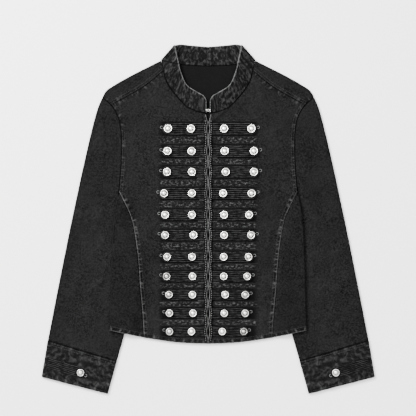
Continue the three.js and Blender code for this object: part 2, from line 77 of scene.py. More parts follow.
def new_material(name, **shader_values):
    """A material of one Principled shader with these values on its own sockets."""
    material = bpy.data.materials.new(name)
    material.use_nodes = True
    shader = material.node_tree.nodes["Principled BSDF"]
    for socket, value in shader_values.items():
        shader.inputs[socket.replace("_", " ")].default_value = value
    return material, material.node_tree, shader


def put_in_scene(name, data):
    """Makes an object of a mesh, a camera or a light and links it to the scene."""
    made = bpy.data.objects.new(name, data)
    bpy.context.scene.collection.objects.link(made)
    return made


camera_data = bpy.data.cameras.new("camera")
camera_data.sensor_width = SENSOR_MM
camera_data.lens = SENSOR_MM * (CAMERA_HEIGHT_M - FRONT_HEIGHT_M) / PHOTO_WIDTH_M
camera = put_in_scene("camera", camera_data)
camera.location = (*PHOTO_CENTRE_M, CAMERA_HEIGHT_M)
bpy.context.scene.camera = camera

for light_name, place, size, power in (
    ("softbox_left", (-1.25, 1.15, 1.7), 0.9, 170),
    ("softbox_right", (1.5, 0.7, 1.9), 1.3, 40),
    ("softbox_front", (0.1, -1.7, 1.7), 1.3, 24),
):
    light_data = bpy.data.lights.new(light_name, "AREA")
    light_data.size = size
    light_data.energy = power
    light = put_in_scene(light_name, light_data)
    light.location = place
    light.rotation_euler = (-light.location).to_track_quat("-Z", "Y").to_euler()

world = bpy.data.worlds.new("studio")
world.use_nodes = True
towards = add(world.node_tree, "ShaderNodeTexCoord").outputs["Generated"]
from_panel = add(
    world.node_tree, "ShaderNodeVectorMath", {0: towards, 1: (-0.46, 0.36, 0.81)}, operation="DOT_PRODUCT"
).outputs["Value"]
overhead = add(
    world.node_tree,
    "ShaderNodeMapRange",
    {"Value": from_panel, "From Min": 0.15, "From Max": 0.8, "To Min": 0.12, "To Max": 2.9},
)
background = world.node_tree.nodes["Background"]
background.inputs["Color"].default_value = linear("#ffffff")
world.node_tree.links.new(overhead.outputs["Result"], background.inputs["Strength"])
bpy.context.scene.world = world

floor_mesh = bpy.data.meshes.new("floor")
corners = [(x * FLOOR_HALF_M, y * FLOOR_HALF_M, 0) for x, y in ((-1, -1), (1, -1), (1, 1), (-1, 1))]
floor_mesh.from_pydata(corners, [], [(0, 1, 2, 3)])
floor = put_in_scene("floor", floor_mesh)
floor_mesh.materials.append(new_material("matt_white_paper", Base_Color=linear("#f7f7f7"), Roughness=0.9)[0])

# The back: one panel of denim between the side seams, the armholes and the yoke. Its inside shows in the
# neck opening only through the collar, and its outside lies on the floor.
# Every outline in this file is a cutter's table of (x, y) points in millimetres, of the wearer's left half
# seen from above. It lies where the solids lie, and the right half mirrors it.
ARMHOLE = [
    (216.5, 248.5), (199, 233.5), (189, 219), (182, 202), (178.5, 178), (177.5, 150), (178.5, 112),
    (181, 78), (183.5, 48),
]
PRINCESS_SEAM = [(131.5, -243.7), (134, -200), (138.5, -150), (143, -90), (149, -40), (158, 3), (182.4, 56)]
HEM_FRONT = [(0.15, -256), (35, -255.2), (70, -252.6), (131.5, -243.7)]
SLEEVE_INNER = [
    (184.9, 48), (189.4, 28), (192, 6), (188.5, -14), (177, -42), (163, -85), (157, -125), (160, -180),
    (172, -234), (188.3, -292),
]
BACK_YOKE_SHARE, PRINCESS_SHARE = 0.33, 0.967
# The frame is centred on the whole jacket. A button of the top strap shows how far that moved the pattern.
TOP_STRAP_Y = 184.5
button_low, button_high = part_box("button_left_inner_01")
PATTERN_SHIFT = np.array([0, (button_low[1] + button_high[1]) * 500 - TOP_STRAP_Y, 0])
DENIM = 1.5
BACK_MIDDLE = 0.8


def smooth_curve(points):
    """Dense samples of a smooth curve through the points, with the length walked at each."""
    p = np.array(points, float)
    p = np.vstack([2 * p[0] - p[1], p, 2 * p[-1] - p[-2]])
    t = np.linspace(0, 1, 24, endpoint=False)[:, None]
    out = []
    for a, b, c, d in zip(p[:-3], p[1:-2], p[2:-1], p[3:]):
        ab, bc, cd = (max(np.linalg.norm(v) ** 0.5, 1e-4) for v in (b - a, c - b, d - c))
        start = ((b - a) / ab - (c - a) / (ab + bc) + (c - b) / bc) * bc
        end = ((c - b) / bc - (d - b) / (bc + cd) + (d - c) / cd) * bc
        out.append(b + start * t + (3 * (c - b) - 2 * start - end) * t**2 + (2 * (b - c) + start + end) * t**3)
    out = np.vstack([*out, p[-2]])
    return out, np.concatenate([[0], np.cumsum(np.linalg.norm(np.diff(out, axis=0), axis=1))])


def stretch(points, count, start=0.0, end=1.0):
    """Evenly spaced samples between two shares of a smooth curve's length."""
    line, walked = smooth_curve(points)
    wanted = np.linspace(start, end, count) * walked[-1]
    return np.column_stack([np.interp(wanted, walked, line[:, k]) for k in range(line.shape[1])])


def chain(*parts):
    """Joins stretches that share their end points."""
    return np.vstack([parts[0], *(p[1:] for p in parts[1:])])


def ease(x, low, high):
    """0 up to low and 1 from high, with a smooth change between them."""
    t = np.clip((x - low) / (high - low), 0, 1)
    return t * t * (3 - 2 * t)


def fade_out(x, low, high):
    """1 up to low and 0 from high."""
    return 1 - ease(x, low, high)


inner_by_height = np.array(sorted(SLEEVE_INNER, key=lambda p: p[1]))


def lift(xy):
    """How far the body is lifted by the sleeve under its side."""
    x, y = np.abs(xy[..., 0]), xy[..., 1]
    inner = np.interp(y, inner_by_height[:, 1], inner_by_height[:, 0])
    return 7.9 * ease(x, inner - 38, inner - 9) * fade_out(y, 20, 75)


def near(xy, line):
    """Each point's distance to a line of samples, and how far along the line that is."""
    flat = xy.reshape(-1, 2)
    walked = np.concatenate([[0], np.cumsum(np.linalg.norm(np.diff(line, axis=0), axis=1))])
    best, along = np.full(len(flat), 1e9), np.zeros(len(flat))
    for a, b, w in zip(line[:-1], line[1:], walked):
        ab = b - a
        t = np.clip(((flat - a) @ ab) / max(ab @ ab, 1e-9), 0, 1)
        d = np.linalg.norm(flat - a - t[:, None] * ab, axis=1)
        closer = d < best
        best[closer], along[closer] = d[closer], (w + t * np.linalg.norm(ab))[closer]
    return best.reshape(xy.shape[:-1]), along.reshape(xy.shape[:-1])


def store(mesh, key, values, kind="FLOAT"):
    """Keeps a value for each vertex, which a material or a Geometry Nodes tree reads by its name."""
    stored = mesh.attributes.new(key, kind, "POINT")
    field = "vector" if kind == "FLOAT_VECTOR" else "value"
    stored.data.foreach_set(field, np.asarray(values, np.float32).reshape(-1))


def shell(name, grid, thickness, attributes, closed=False):
    """Makes one cloth piece: a wall about a grid of middle points, with its rim closed.

    attributes are values at the grid's points that the material reads. A closed grid is a tube.
    """
    rows, columns = grid.shape[:2]
    before = np.roll(grid, 1, axis=1) if closed else np.concatenate([grid[:, :1], grid[:, :-1]], axis=1)
    after = np.roll(grid, -1, axis=1) if closed else np.concatenate([grid[:, 1:], grid[:, -1:]], axis=1)
    down, up = np.concatenate([grid[:1], grid[:-1]]), np.concatenate([grid[1:], grid[-1:]])
    normal = np.cross(after - before, up - down)
    normal /= np.maximum(np.linalg.norm(normal, axis=-1, keepdims=True), 1e-9)
    layers = [grid + normal * thickness / 2, grid - normal * thickness / 2]
    size = rows * columns
    ids = np.arange(size).reshape(rows, columns)
    nxt = np.roll(ids, -1, axis=1) if closed else ids[:, 1:]
    here = ids if closed else ids[:, :-1]
    top = np.stack([here[:-1], nxt[:-1], nxt[1:], here[1:]], -1).reshape(-1, 4)
    faces = [top, top[:, ::-1] + size]
    rims = [(here[0], nxt[0]), (nxt[-1], here[-1])]
    if not closed:
        rims += [(ids[1:, 0], ids[:-1, 0]), (ids[:-1, -1], ids[1:, -1])]
    faces += [np.stack([a, a + size, b + size, b], -1) for a, b in rims]
    mesh = bpy.data.meshes.new(name)
    points = (np.concatenate([layer.reshape(-1, 3) for layer in layers]) + PATTERN_SHIFT) * 0.001
    mesh.from_pydata(points.tolist(), [], np.concatenate(faces).tolist())
    unmarked = {"between": np.zeros((rows, columns)), "fade_and_shading": np.full((rows, columns), 0.5)}
    for key, values in {**unmarked, **attributes}.items():
        store(mesh, key, np.tile(values.reshape(-1), 2))
    mesh.polygons.foreach_set("use_smooth", [True] * len(mesh.polygons))
    piece = put_in_scene(name, mesh)
    face_out(piece)
    return piece


def face_out(piece):
    """Turns a closed piece's faces outwards, by the sign of its volume."""
    work = bmesh.new()
    work.from_mesh(piece.data)
    if work.calc_volume(signed=True) < 0:
        bmesh.ops.reverse_faces(work, faces=work.faces)
    work.to_mesh(piece.data)
    work.free()


def raised(xy, z):
    """Points of a plan at the height z."""
    return np.concatenate([xy, z[..., None]], axis=-1)


def lay_on_frame(piece, slot, *nodes):
    """Gives a piece its body and hides the solids that it stands for. The slot is not used."""
    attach(piece, "root")
    if nodes:
        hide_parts(*nodes)


def dress(piece, material, nodes):
    """Gives a cloth piece its material and its place on the frame."""
    piece.data.materials.append(material)
    lay_on_frame(piece, "black_denim", *nodes)


# Black cotton twill, washed with stones after sewing: dark yarns with a paler weft between them, and pale
# abrasion wherever a seam, hem or edge stood proud in the drum. The weave itself is finer than the
# render can show, so its speckle is drawn about 2 mm coarse.
def washed_denim(name, dark, plain, pale, speckle=1.0, blotch=0.0, seam_wear_and_shade=1.0, blotch_mm=(4.6, 7.0)):
    """dark, plain and pale are the cloth's three tones. blotch is how uneven the wash left it."""
    material, tree, shader = new_material(name, Roughness=0.92, Specular_IOR_Level=0.03)
    place = add(tree, "ShaderNodeTexCoord").outputs["Object"]
    edge, run, wash, between, fade_and_shading = (
        add(tree, "ShaderNodeAttribute", attribute_name=key).outputs["Fac"]
        for key in ("edge_mm", "run_mm", "wash", "between", "fade_and_shading")
    )
    # Marks that follow the nearest seam: strokes of the wash, and puckers about 7 mm apart. The place drawn
    # out sideways is for the ruffles between the straps.
    by_seam = add(tree, "ShaderNodeCombineXYZ", {"X": run, "Y": edge}).outputs[0]
    by_stroke, by_pucker = (
        add(tree, "ShaderNodeVectorMath", {0: by_seam, 1: (*size_mm, 1)}, operation="DIVIDE").outputs[0]
        for size_mm in (blotch_mm, (6.0, 16.0))
    )
    drawn_out = add(tree, "ShaderNodeMapping", {"Vector": place, "Scale": (0.55, 1.0, 1.0)}).outputs[0]
    noise = {}
    for key, vector, grain, detail, roughness, distortion in (
        ("fleck", place, 0.0030, 5.0, 0.85, 0.0),
        ("cloud", place, 0.038, 3.0, 0.6, 0.0),
        ("rub", place, 0.005, 1.0, 0.6, 0.0),
        ("streak", drawn_out, 0.0034, 3.0, 0.65, 0.0),
        ("yarn", place, 0.0026, 3.0, 0.6, 0.0),
        ("stroke", by_stroke, 1.0, 3.0, 0.5, 0.6),
        ("dash", by_pucker, 1.0, 1.0, 0.5, 0.0),
    ):
        values = {"Vector": vector, "Scale": 1 / grain, "Detail": detail, "Roughness": roughness}
        made = add(tree, "ShaderNodeTexNoise", {**values, "Distortion": distortion})
        noise[key] = made.outputs["Fac"]
    fleck_edges = {"Value": noise["fleck"], "From Min": 0.34, "From Max": 0.66}
    fleck = add(tree, "ShaderNodeMapRange", fleck_edges, interpolation_type="SMOOTHSTEP").outputs["Result"]

    # The layers of colour on the dark ground, from the lowest up: name, tone, strength, and the stretches
    # that the layer shows in. A stretch is a value, where it starts and ends, and how much shows at its ends.
    seam_zone = [(edge, 3.0, 11.0, 1, 0), (wash, 0.15, 0.85, 0, 1)]
    layers = [
        ("paler weft", plain, 1, [(fleck, 0, 1, 0.5 - 0.5 * speckle, 0.5 + 0.5 * speckle)]),
        ("clouds", plain, 0.28, [(noise["cloud"], 0.38, 0.66, 0, 1)]),
        # Broad paler and darker parts from a stored share: partly uneven fading, partly painted light and
        # shade, such as a sleeve's painted lighter top and painted shade near seams and folds.
        ("faded parts", pale, 1, [(fade_and_shading, 0.5, 1, 0, 0.22)]),
        ("dark parts", dark, 1, [(fade_and_shading, 0, 0.5, 0.42, 0)]),
        # On the narrow stiff bands the wash marks are strokes that run in from the edges.
        ("hollow strokes", "#040404", 0.75 * blotch, [(noise["stroke"], 0.3, 0.52, 1, 0)]),
        ("pale strokes", pale, blotch, [(noise["stroke"], 0.46, 0.74, 0, 1)]),
        # Puckers across a seam: painted shade in their hollows, and short pale ridges, partly rubbed pale and
        # partly painted highlight.
        ("gully shade", "#040404", 0.8 * seam_wear_and_shade, [(noise["dash"], 0.36, 0.5, 1, 0), *seam_zone]),
        ("ridges", "#323332", 0.8 * seam_wear_and_shade, [(noise["dash"], 0.52, 0.66, 0, 1), *seam_zone]),
        # The seam itself: pale where it was rubbed, and a dark line of painted shade in its groove where it was
        # not.
        (
            "rubbed seam", "#545554", 0.8 * seam_wear_and_shade,
            [(edge, 0.6, 2.0, 1, 0), (wash, 0.55, 1, 0, 1), (noise["rub"], 0.3, 0.6, 0.45, 1)],
        ),
        (
            "seam groove shade", "#020202", seam_wear_and_shade,
            [(edge, 0.6, 2.2, 0.8, 0), (wash, 0.56, 0.7, 1, 0), (wash, 0.02, 0.1, 0, 1)],
        ),
        # Between the braid straps the cloth stands up in small horizontal ruffles: the ruffled cloth is
        # darkened as painted shade, each crest gets pale streaks of painted highlight, and painted shade lies
        # beside the straps.
        ("ruffles", dark, 1, [(between, 0, 0.4, 0, 0.45)]),
        ("crest highlights", "#393a39", 0.9, [(between, 0.1, 0.8, 0, 1), (noise["streak"], 0.5, 0.66, 0, 1)]),
        ("shade", "#040404", 1, [(between, -0.7, 0.1, 0.95, 0)]),
    ]
    colour, shows = linear(dark), {}
    for layer, tone, strength, stretches in layers:
        shown = 1.0
        for value, start, end, at_start, at_end in stretches:
            ends = {"Value": value, "From Min": start, "From Max": end, "To Min": at_start, "To Max": at_end}
            part = add(tree, "ShaderNodeMapRange", ends, interpolation_type="SMOOTHSTEP").outputs["Result"]
            shown = add(tree, "ShaderNodeMath", {0: shown, 1: part}, operation="MULTIPLY").outputs[0]
        shows[layer] = shown
        amount = add(tree, "ShaderNodeMath", {0: shown, 1: strength}, operation="MULTIPLY").outputs[0]
        tones = {0: amount, 6: colour, 7: linear(tone)}
        colour = add(tree, "ShaderNodeMix", tones, data_type="RGBA").outputs[2]
    tree.links.new(colour, shader.inputs["Base Color"])

    # Yarn and puckers as relief, in metres.
    yarn = add(tree, "ShaderNodeBump", {"Strength": 0.55, "Distance": 0.00035, "Height": noise["yarn"]})
    swell = add(tree, "ShaderNodeMath", {0: shows["ridges"], 1: shows["gully shade"]}, operation="SUBTRACT")
    relief = {"Strength": 0.7, "Distance": 0.0012, "Height": swell.outputs[0], "Normal": yarn.outputs[0]}
    tree.links.new(add(tree, "ShaderNodeBump", relief).outputs[0], shader.inputs["Normal"])
    return material


# The wrong side is painted far darker than the outside, as painted shade where it shows under the collar in the
# neck opening.
DENIM_INSIDE_SHADED = washed_denim("shaded_black_denim_wrong_side", "#070707", "#0c0c0c", "#101010", 0.6, 0.0, 0.0)

armhole_line = stretch(ARMHOLE, 130)
princess_line = stretch(PRINCESS_SEAM, 200)
back_outer = chain(stretch(PRINCESS_SEAM, 80), stretch(ARMHOLE, 40, PRINCESS_SHARE, BACK_YOKE_SHARE))
shares = np.linspace(-1, 1, 91)
back_plan = back_outer[:, None] * np.stack([shares, np.ones_like(shares)], -1)[None]
hem_drop = HEM_FRONT[0][1] - PRINCESS_SEAM[0][1]
back_plan[..., 1] += hem_drop * (1 - shares**2) * fade_out(np.arange(len(back_outer)), 0, 14)[:, None]
back_edge, back_run = near(back_plan, back_outer)
back = shell(
    "back_panel",
    raised(back_plan, BACK_MIDDLE + lift(back_plan)),
    DENIM,
    {"wash": np.zeros(back_plan.shape[:2]), "edge_mm": back_edge, "run_mm": back_run},
)
dress(back, DENIM_INSIDE_SHADED, ["back"])

# The fronts: two mirrored panels from the centre edge to the curved princess seam. The centre edges are
# turned under, and so is the hem. The cloth ruffles up between the straps that are sewn across it.
YOKE_SEAM = [(91.5, 304), (131, 272), (165, 252), (199, 233.5)]
COLLAR_SEAM = [(5.5, 216), (24, 220.5), (44, 230), (60, 246), (75, 264), (86, 283), (91.5, 304)]
FRONT_YOKE_SHARE = 0.1
BODY_LOFT = 5.0
STRAP_ROWS = [TOP_STRAP_Y, 138.5, 96, 52, 8, -33.5, -78, -118, -155.5, -193.5, -231]
STRAP_HALF = np.interp(range(11), (0, 10), (12.6, 10.4))
STRAP_REACH = 104
SIDES = ((1, "left"), (-1, "right"))
FRONT_CREASES = [
    (56, 240, 12, 203, 2.6, 2.6),
    (74, 254, 26, 202, 3, 2.2),
    (36, 228, 8, 200, 2.4, 2.2),
    (66, 246, 20, 200, 2.2, -1.4),
    (92, 262, 44, 206, 4, 1.5),
    (98, 282, 122, 206, 9, 1.7),
    (152, 124, 122, 58, 10, 1.4),
    (166, 152, 130, 174, 8, 1.2),
    (130, -8, 117, -92, 7, 1.3),
    (123, -118, 112, -212, 7, 1.2),
    (140, 236, 150, 190, 8, 1.2),
]


def mirrored(points, side):
    """The points as they lie on the wearer's left for 1, and on the right for -1."""
    return points * np.array([side, 1, 1])[: points.shape[-1]]


def folded(xy):
    """The points of both halves, laid over each other on the wearer's left."""
    return np.abs(xy) * [1, 0] + xy * [0, 1]


def panel(bottom, top, inner, outer):
    """The plan of a panel between four edges: rows run from the inner edge to the outer edge."""
    u = np.linspace(0, 1, len(bottom))[None, :, None]
    v = np.linspace(0, 1, len(inner))[:, None, None]
    sides = inner[:, None] * (1 - u) + outer[:, None] * u
    ends = bottom[None] * (1 - v) + top[None] * v
    corners = (bottom[0] * (1 - u) + bottom[-1] * u) * (1 - v) + (top[0] * (1 - u) + top[-1] * u) * v
    return sides + ends - corners


class Waves:
    """Smooth, fixed unevenness: a sum of sine waves of about one length in all directions."""

    def __init__(self, length, seed, stretch_y=1.0, count=9):
        draw = random.Random(seed)
        self.waves = []
        for _ in range(count):
            turn, size = draw.uniform(0, math.pi), length * draw.uniform(0.7, 1.5)
            k = 2 * math.pi / size
            self.waves.append((k * math.cos(turn), k * math.sin(turn) / stretch_y, draw.uniform(0, 6.28)))

    def __call__(self, xy):
        total = sum(np.sin(a * xy[..., 0] + b * xy[..., 1] + c) for a, b, c in self.waves)
        return total / math.sqrt(len(self.waves))


def creases(xy, table):
    """Soft ridges and troughs, each a row of start, end, width and height in millimetres."""
    z = np.zeros(xy.shape[:-1])
    for x0, y0, x1, y1, width, height in table:
        a, b = np.array((x0, y0), float), np.array((x1, y1), float)
        ab = b - a
        t = ((xy - a) @ ab) / (ab @ ab)
        off = np.linalg.norm(xy - a - np.clip(t, 0, 1)[..., None] * ab, axis=-1)
        fade = np.clip(1 - np.abs(np.clip(t, 0, 1) - 0.5) * 1.2, 0, 1)
        z += height * fade * np.exp(-((off / width) ** 2))
    return z


DENIM_PLAIN = washed_denim("washed_black_denim", "#020202", "#1a1a1a", "#303030")
DENIM_BLOTCHED = washed_denim("heavily_washed_black_denim", "#030303", "#101010", "#2f2f2f", 1.0, 0.66)
DENIM_EDGE = washed_denim("edge_worn_black_denim", "#020202", "#0d0d0d", "#191919")
DENIM_CLOUDED = washed_denim(
    "cloudy_washed_black_denim", "#040404", "#151515", "#2f2f2f", 1.0, 0.6, blotch_mm=(9, 9)
)
hem_line = stretch(HEM_FRONT, 80)
yoke_line = stretch(YOKE_SEAM, 80)
neck_line = stretch(COLLAR_SEAM, 80)
slow_waves, ruffle_waves, hollow_waves = Waves(70, 3), Waves(12, 5, 0.45), Waves(22, 8)


def strap_nearness(y):
    """Distance to the nearest strap's middle as a share of its half height, and the strap's number."""
    gaps = np.abs(y[..., None] - np.array(STRAP_ROWS))
    row = gaps.argmin(-1)
    return gaps.min(-1) / STRAP_HALF[row], row


def ruffle(xy):
    """1 on the crest between two straps, 0 beside them, and below 0 in the shade at a strap's edge."""
    share, _ = strap_nearness(xy[..., 1])
    x = np.abs(xy[..., 0])
    zone = ease(x, 5, 9) * fade_out(x, STRAP_REACH - 14, STRAP_REACH + 4)
    zone = zone * ease(xy[..., 1], -250, -240) * fade_out(xy[..., 1], 200, 206)
    value = np.where(share < 1.0, -0.6, -0.8 + 1.7 * ease(share, 1.0, 1.55))
    # Near the edge band the ruffles sink into hollows, and the material paints them dark there as painted
    # shade.
    hollow = fade_out(x, 7, 20) * np.clip(0.5 + hollow_waves(xy), 0, 1)
    return (value - 1.3 * hollow * (value > 0)) * zone


def front_heights(xy):
    """The middle of the front's cloth: the solid's height, with its folds, turnings and ruffles."""
    left = folded(xy)
    z = BACK_MIDDLE + lift(xy) + BODY_LOFT
    outside = ease(np.abs(xy[..., 0]), STRAP_REACH - 6, STRAP_REACH + 16)
    above = ease(xy[..., 1], 197, 208)
    free = np.maximum(outside, above)
    z = z + free * (0.5 * slow_waves(xy) + creases(left, FRONT_CREASES))
    z = z + np.clip(ruffle(xy), 0, 1) * (0.5 + 0.45 * ruffle_waves(xy))
    x = np.abs(xy[..., 0])
    z = z + 0.5 * fade_out(x, 6.0, 8.0) * (xy[..., 1] < 216)
    hem, hem_run = near(left, hem_line)
    z = z + 0.45 * fade_out(hem, 9, 12) * (1 + 0.5 * np.sin(hem_run * 0.75))
    z = z - 0.7 * fade_out(hem, 0, 2.5)
    for line, width in ((princess_line, 8.5), (armhole_line, 8.5), (yoke_line, 4)):
        off, run = near(left, line)
        z = z + (0.45 + 0.25 * np.sin(run * 0.9)) * fade_out(off, width, width + 3)
        z = z - 0.7 * fade_out(off, 0, 2.2)
    return z


def wear(xy, seams):
    """edge_mm, run_mm and wash of the nearest seam, from pairs of a line and how worn it is."""
    edge, run, wash = (np.full(xy.shape[:-1], v, float) for v in (1e3, 0, 0))
    for line, worn in seams:
        off, along = near(xy, line)
        closer = off < edge
        edge[closer], run[closer], wash[closer] = off[closer], along[closer], worn
    return {"edge_mm": edge, "run_mm": run, "wash": wash}


edge_ys = np.linspace(-256, 200, 190)
open_at_rows = sum(np.exp(-(((edge_ys - y) / 10.0) ** 2)) for y in STRAP_ROWS)
front_edge = np.column_stack([0.3 + 2.2 * np.clip(open_at_rows, 0, 1), edge_ys])
front_edge[0] = HEM_FRONT[0]
front_edge[-1] = (1.2, 200)
front_inner = chain(front_edge, np.linspace((1.2, 200), COLLAR_SEAM[0], 7), stretch(COLLAR_SEAM, 50))
front_outer = chain(stretch(PRINCESS_SEAM, 144), stretch(ARMHOLE, 102, PRINCESS_SHARE, FRONT_YOKE_SHARE))
assert len(front_inner) == len(front_outer)
front_plan = panel(stretch(HEM_FRONT, 66), stretch(YOKE_SEAM, 66), front_inner, front_outer)
centre_line = front_inner[:196]
BAND_HALF = 3.4
BAND_WALL = 0.9
BAND_Z = BACK_MIDDLE + BODY_LOFT + DENIM / 2 + 3.0
band_waves = Waves(11, 51, 1.3)
band_middle = front_edge[3:] + np.array([BAND_HALF + 0.1, 0])
front_wear = wear(
    front_plan,
    [
        (hem_line, 1.0),
        (princess_line, 0.8),
        (armhole_line, 0.54),
        (yoke_line, 0.54),
        (neck_line, 0.3),
        (centre_line, 1.0),
    ],
)
# The front's tone: slow random changes, painted shade within about 34 mm of a seam, and lighter towards the
# bottom.
front_fade_and_shading = 0.38 + 0.07 * slow_waves(front_plan) + 0.1 * ease(front_wear["edge_mm"], 6, 34)
front_fade_and_shading += 0.22 * ease(-front_plan[..., 1], 110, 230)
for side, name in SIDES:
    plan = mirrored(front_plan, side)
    front = shell(
        f"front_panel_{name}",
        raised(plan, front_heights(plan)),
        DENIM,
        {**front_wear, "between": ruffle(plan), "fade_and_shading": front_fade_and_shading},
    )
    dress(front, DENIM_PLAIN, [f"front_{name}"])

    # The edge is faced with a narrow band that covers the ends of the straps. It is pinched between the
    # straps and bows at each of them, and both its folded edges are worn pale.
    band_plan = band_middle[:, None] + np.array([1, 0]) * np.linspace(-BAND_HALF, BAND_HALF, 8)[None, :, None]
    band_off = BAND_HALF - np.abs(np.linspace(-BAND_HALF, BAND_HALF, 8))[None]
    band_z = BAND_Z + 0.35 * band_waves(band_plan) - 0.5 * fade_out(band_off, 0, 1.5)
    band_wear = wear(band_plan, [(band_middle + [BAND_HALF, 0], 0.3), (band_middle - [BAND_HALF, 0], 1.0)])
    band = shell(
        f"front_edge_band_{name}",
        mirrored(raised(band_plan, band_z), side),
        BAND_WALL,
        {**band_wear, "fade_and_shading": np.zeros(band_plan.shape[:2])},
    )
    dress(band, DENIM_EDGE, [])

# The side panels: strips of the same denim from the princess seam round the side of the body to a seam on
# the back. They are sewn to front and back, and lie folded at the body's side.
SIDE_EDGE = [(201, -228.2), (199, -150), (196.5, -64), (193.5, -9), (190.6, 20), (184.3, 48)]
side_rows = 100
side_inner, side_outer = stretch(PRINCESS_SEAM, side_rows), stretch(SIDE_EDGE, side_rows)


def ruled(one, other, count):
    """The plan between two lines: a row of points from each point of one to that of the other."""
    shares = np.linspace(0, 1, count)[:, None]
    return one[:, None] * (1 - shares) + other[:, None] * shares


side_plan = ruled(side_inner, side_outer, 22)
side_hem_line = np.array([PRINCESS_SEAM[0], SIDE_EDGE[0]], float)
side_waves = Waves(60, 11)


def fold_arc(before, edge, upper, lower, steps=8):
    """Points of a rounded fold from an upper layer to a lower one, for each row at once."""
    radius = (upper - lower) / 2
    out = edge - before
    out /= np.linalg.norm(out, axis=-1, keepdims=True)
    turns = np.pi / 2 - np.pi * np.arange(steps + 1) / steps
    plan = edge[:, None] + out[:, None] * (radius[:, None] * (np.cos(turns) - 1))[..., None]
    z = (upper + lower)[:, None] / 2 + radius[:, None] * np.sin(turns)
    return np.concatenate([plan, z[..., None]], axis=-1)


def side_heights(xy):
    hem, run = near(xy, side_hem_line)
    z = BACK_MIDDLE + lift(xy) + 0.35 * side_waves(xy) * ease(hem, 0, 30)
    z = z + 0.4 * fade_out(hem, 9, 12) * (1 + 0.5 * np.sin(run * 0.75)) - 0.6 * fade_out(hem, 0, 2.5)
    off, _ = near(xy, princess_line)
    return z - 0.6 * fade_out(off, 0, 2.2)


side_upper = side_heights(side_plan) + BODY_LOFT
side_lower = BACK_MIDDLE + lift(side_plan)
side_arc = fold_arc(side_plan[:, -3], side_plan[:, -1], side_upper[:, -1], side_lower[:, -1])
side_grid = np.concatenate(
    [raised(side_plan, side_upper)[:, :-1], side_arc, raised(side_plan, side_lower)[:, -2::-1]], axis=1
)
side_wear = wear(side_grid[..., :2], [(side_hem_line, 1.0), (princess_line, 0.3), (armhole_line, 0.3)])
side_wear["fade_and_shading"] = np.full(side_grid.shape[:2], 0.25)
for side, name in SIDES:
    piece = shell(f"side_panel_{name}", mirrored(side_grid, side), DENIM, side_wear)
    dress(piece, DENIM_PLAIN, [f"side_{name}"])

# The yoke: one piece of the same denim over both shoulders, sewn to the fronts, the back and the sleeves.
# Its back part shows its wrong side in the neck opening.
SHOULDER_LINE = [(216.5, 248.5), (209, 262), (192, 274), (156, 294.3), (119, 313), (97, 324)]
BACK_NECKLINE = [(0, 313.5), (56, 316.5), (97, 317)]
yoke_cols, shoulder = 50, stretch(SHOULDER_LINE, 50)
neck_point = SHOULDER_LINE[-1]
armhole_point = stretch(ARMHOLE, 2, 0, BACK_YOKE_SHARE)[1]
yoke_front = panel(
    stretch(YOKE_SEAM[::-1], yoke_cols),
    shoulder,
    stretch(ARMHOLE, 14, FRONT_YOKE_SHARE, 0),
    stretch([YOKE_SEAM[0], neck_point], 14),
)
yoke_back = panel(
    shoulder,
    stretch([tuple(armhole_point), (neck_point[0], armhole_point[1])], yoke_cols),
    stretch(ARMHOLE, 24, 0, BACK_YOKE_SHARE),
    stretch([neck_point, (neck_point[0], armhole_point[1])], 24),
)
yoke_off, yoke_run = near(yoke_front, yoke_line)
yoke_arm, _ = near(yoke_front, armhole_line)
yoke_upper = BACK_MIDDLE + BODY_LOFT + (0.55 + 0.35 * np.sin(yoke_run * 0.95)) * fade_out(yoke_off, 9, 12)
yoke_upper = yoke_upper - 0.7 * fade_out(yoke_off, 0, 2) - 0.6 * fade_out(yoke_arm, 0, 2)
yoke_arc = fold_arc(yoke_front[-3], yoke_front[-1], yoke_upper[-1], np.full(yoke_cols, BACK_MIDDLE))
yoke_grid = np.concatenate(
    [
        raised(yoke_front, yoke_upper)[:-1],
        yoke_arc.transpose(1, 0, 2),
        raised(yoke_back, np.full(yoke_back.shape[:2], BACK_MIDDLE))[1:],
    ]
)
yoke_wear = wear(yoke_grid[..., :2], [(yoke_line, 0.55), (armhole_line, 0.5)])
yoke_wear["wash"] *= ease(np.abs(yoke_grid[..., 0]), 100, 170)
yoke_wear["wash"] *= 1 - ease(np.arange(len(yoke_grid)), 12, 16)[:, None]
yoke_wear["fade_and_shading"] = np.full(yoke_grid.shape[:2], 0.3)
top_line = stretch([(-x, y) for x, y in BACK_NECKLINE[::-1]] + BACK_NECKLINE[1:], 61)
bottom_line = np.column_stack([top_line[:, 0], np.full(61, armhole_point[1])])
neck_rows = np.linspace(0, 1, 34)[:, None, None]
neck_patch = bottom_line * (1 - neck_rows) + top_line * neck_rows
neck_grid = raised(neck_patch, np.full(neck_patch.shape[:2], BACK_MIDDLE))
far_from_seams = {"wash": 0.0, "edge_mm": 50.0, "run_mm": 0.0}
neck_wear = {key: np.full(neck_grid.shape[:2], value) for key, value in far_from_seams.items()}
yoke_parts = [
    shell("yoke_left_part", yoke_grid, DENIM, yoke_wear),
    shell("yoke_right_part", mirrored(yoke_grid, -1), DENIM, yoke_wear),
    shell("yoke_back_part", neck_grid, DENIM, neck_wear),
]
yoke_parts[2].data.materials.append(DENIM_INSIDE_SHADED)


def join(name, parts):
    """Makes one object of several, with their materials."""
    with bpy.context.temp_override(active_object=parts[0], selected_editable_objects=parts):
        bpy.ops.object.join()
    parts[0].name = parts[0].data.name = name
    return parts[0]


for part in yoke_parts[:2]:
    part.data.materials.append(DENIM_PLAIN)
yoke = join("yoke_panel", yoke_parts)
lay_on_frame(yoke, "black_denim", "yoke")

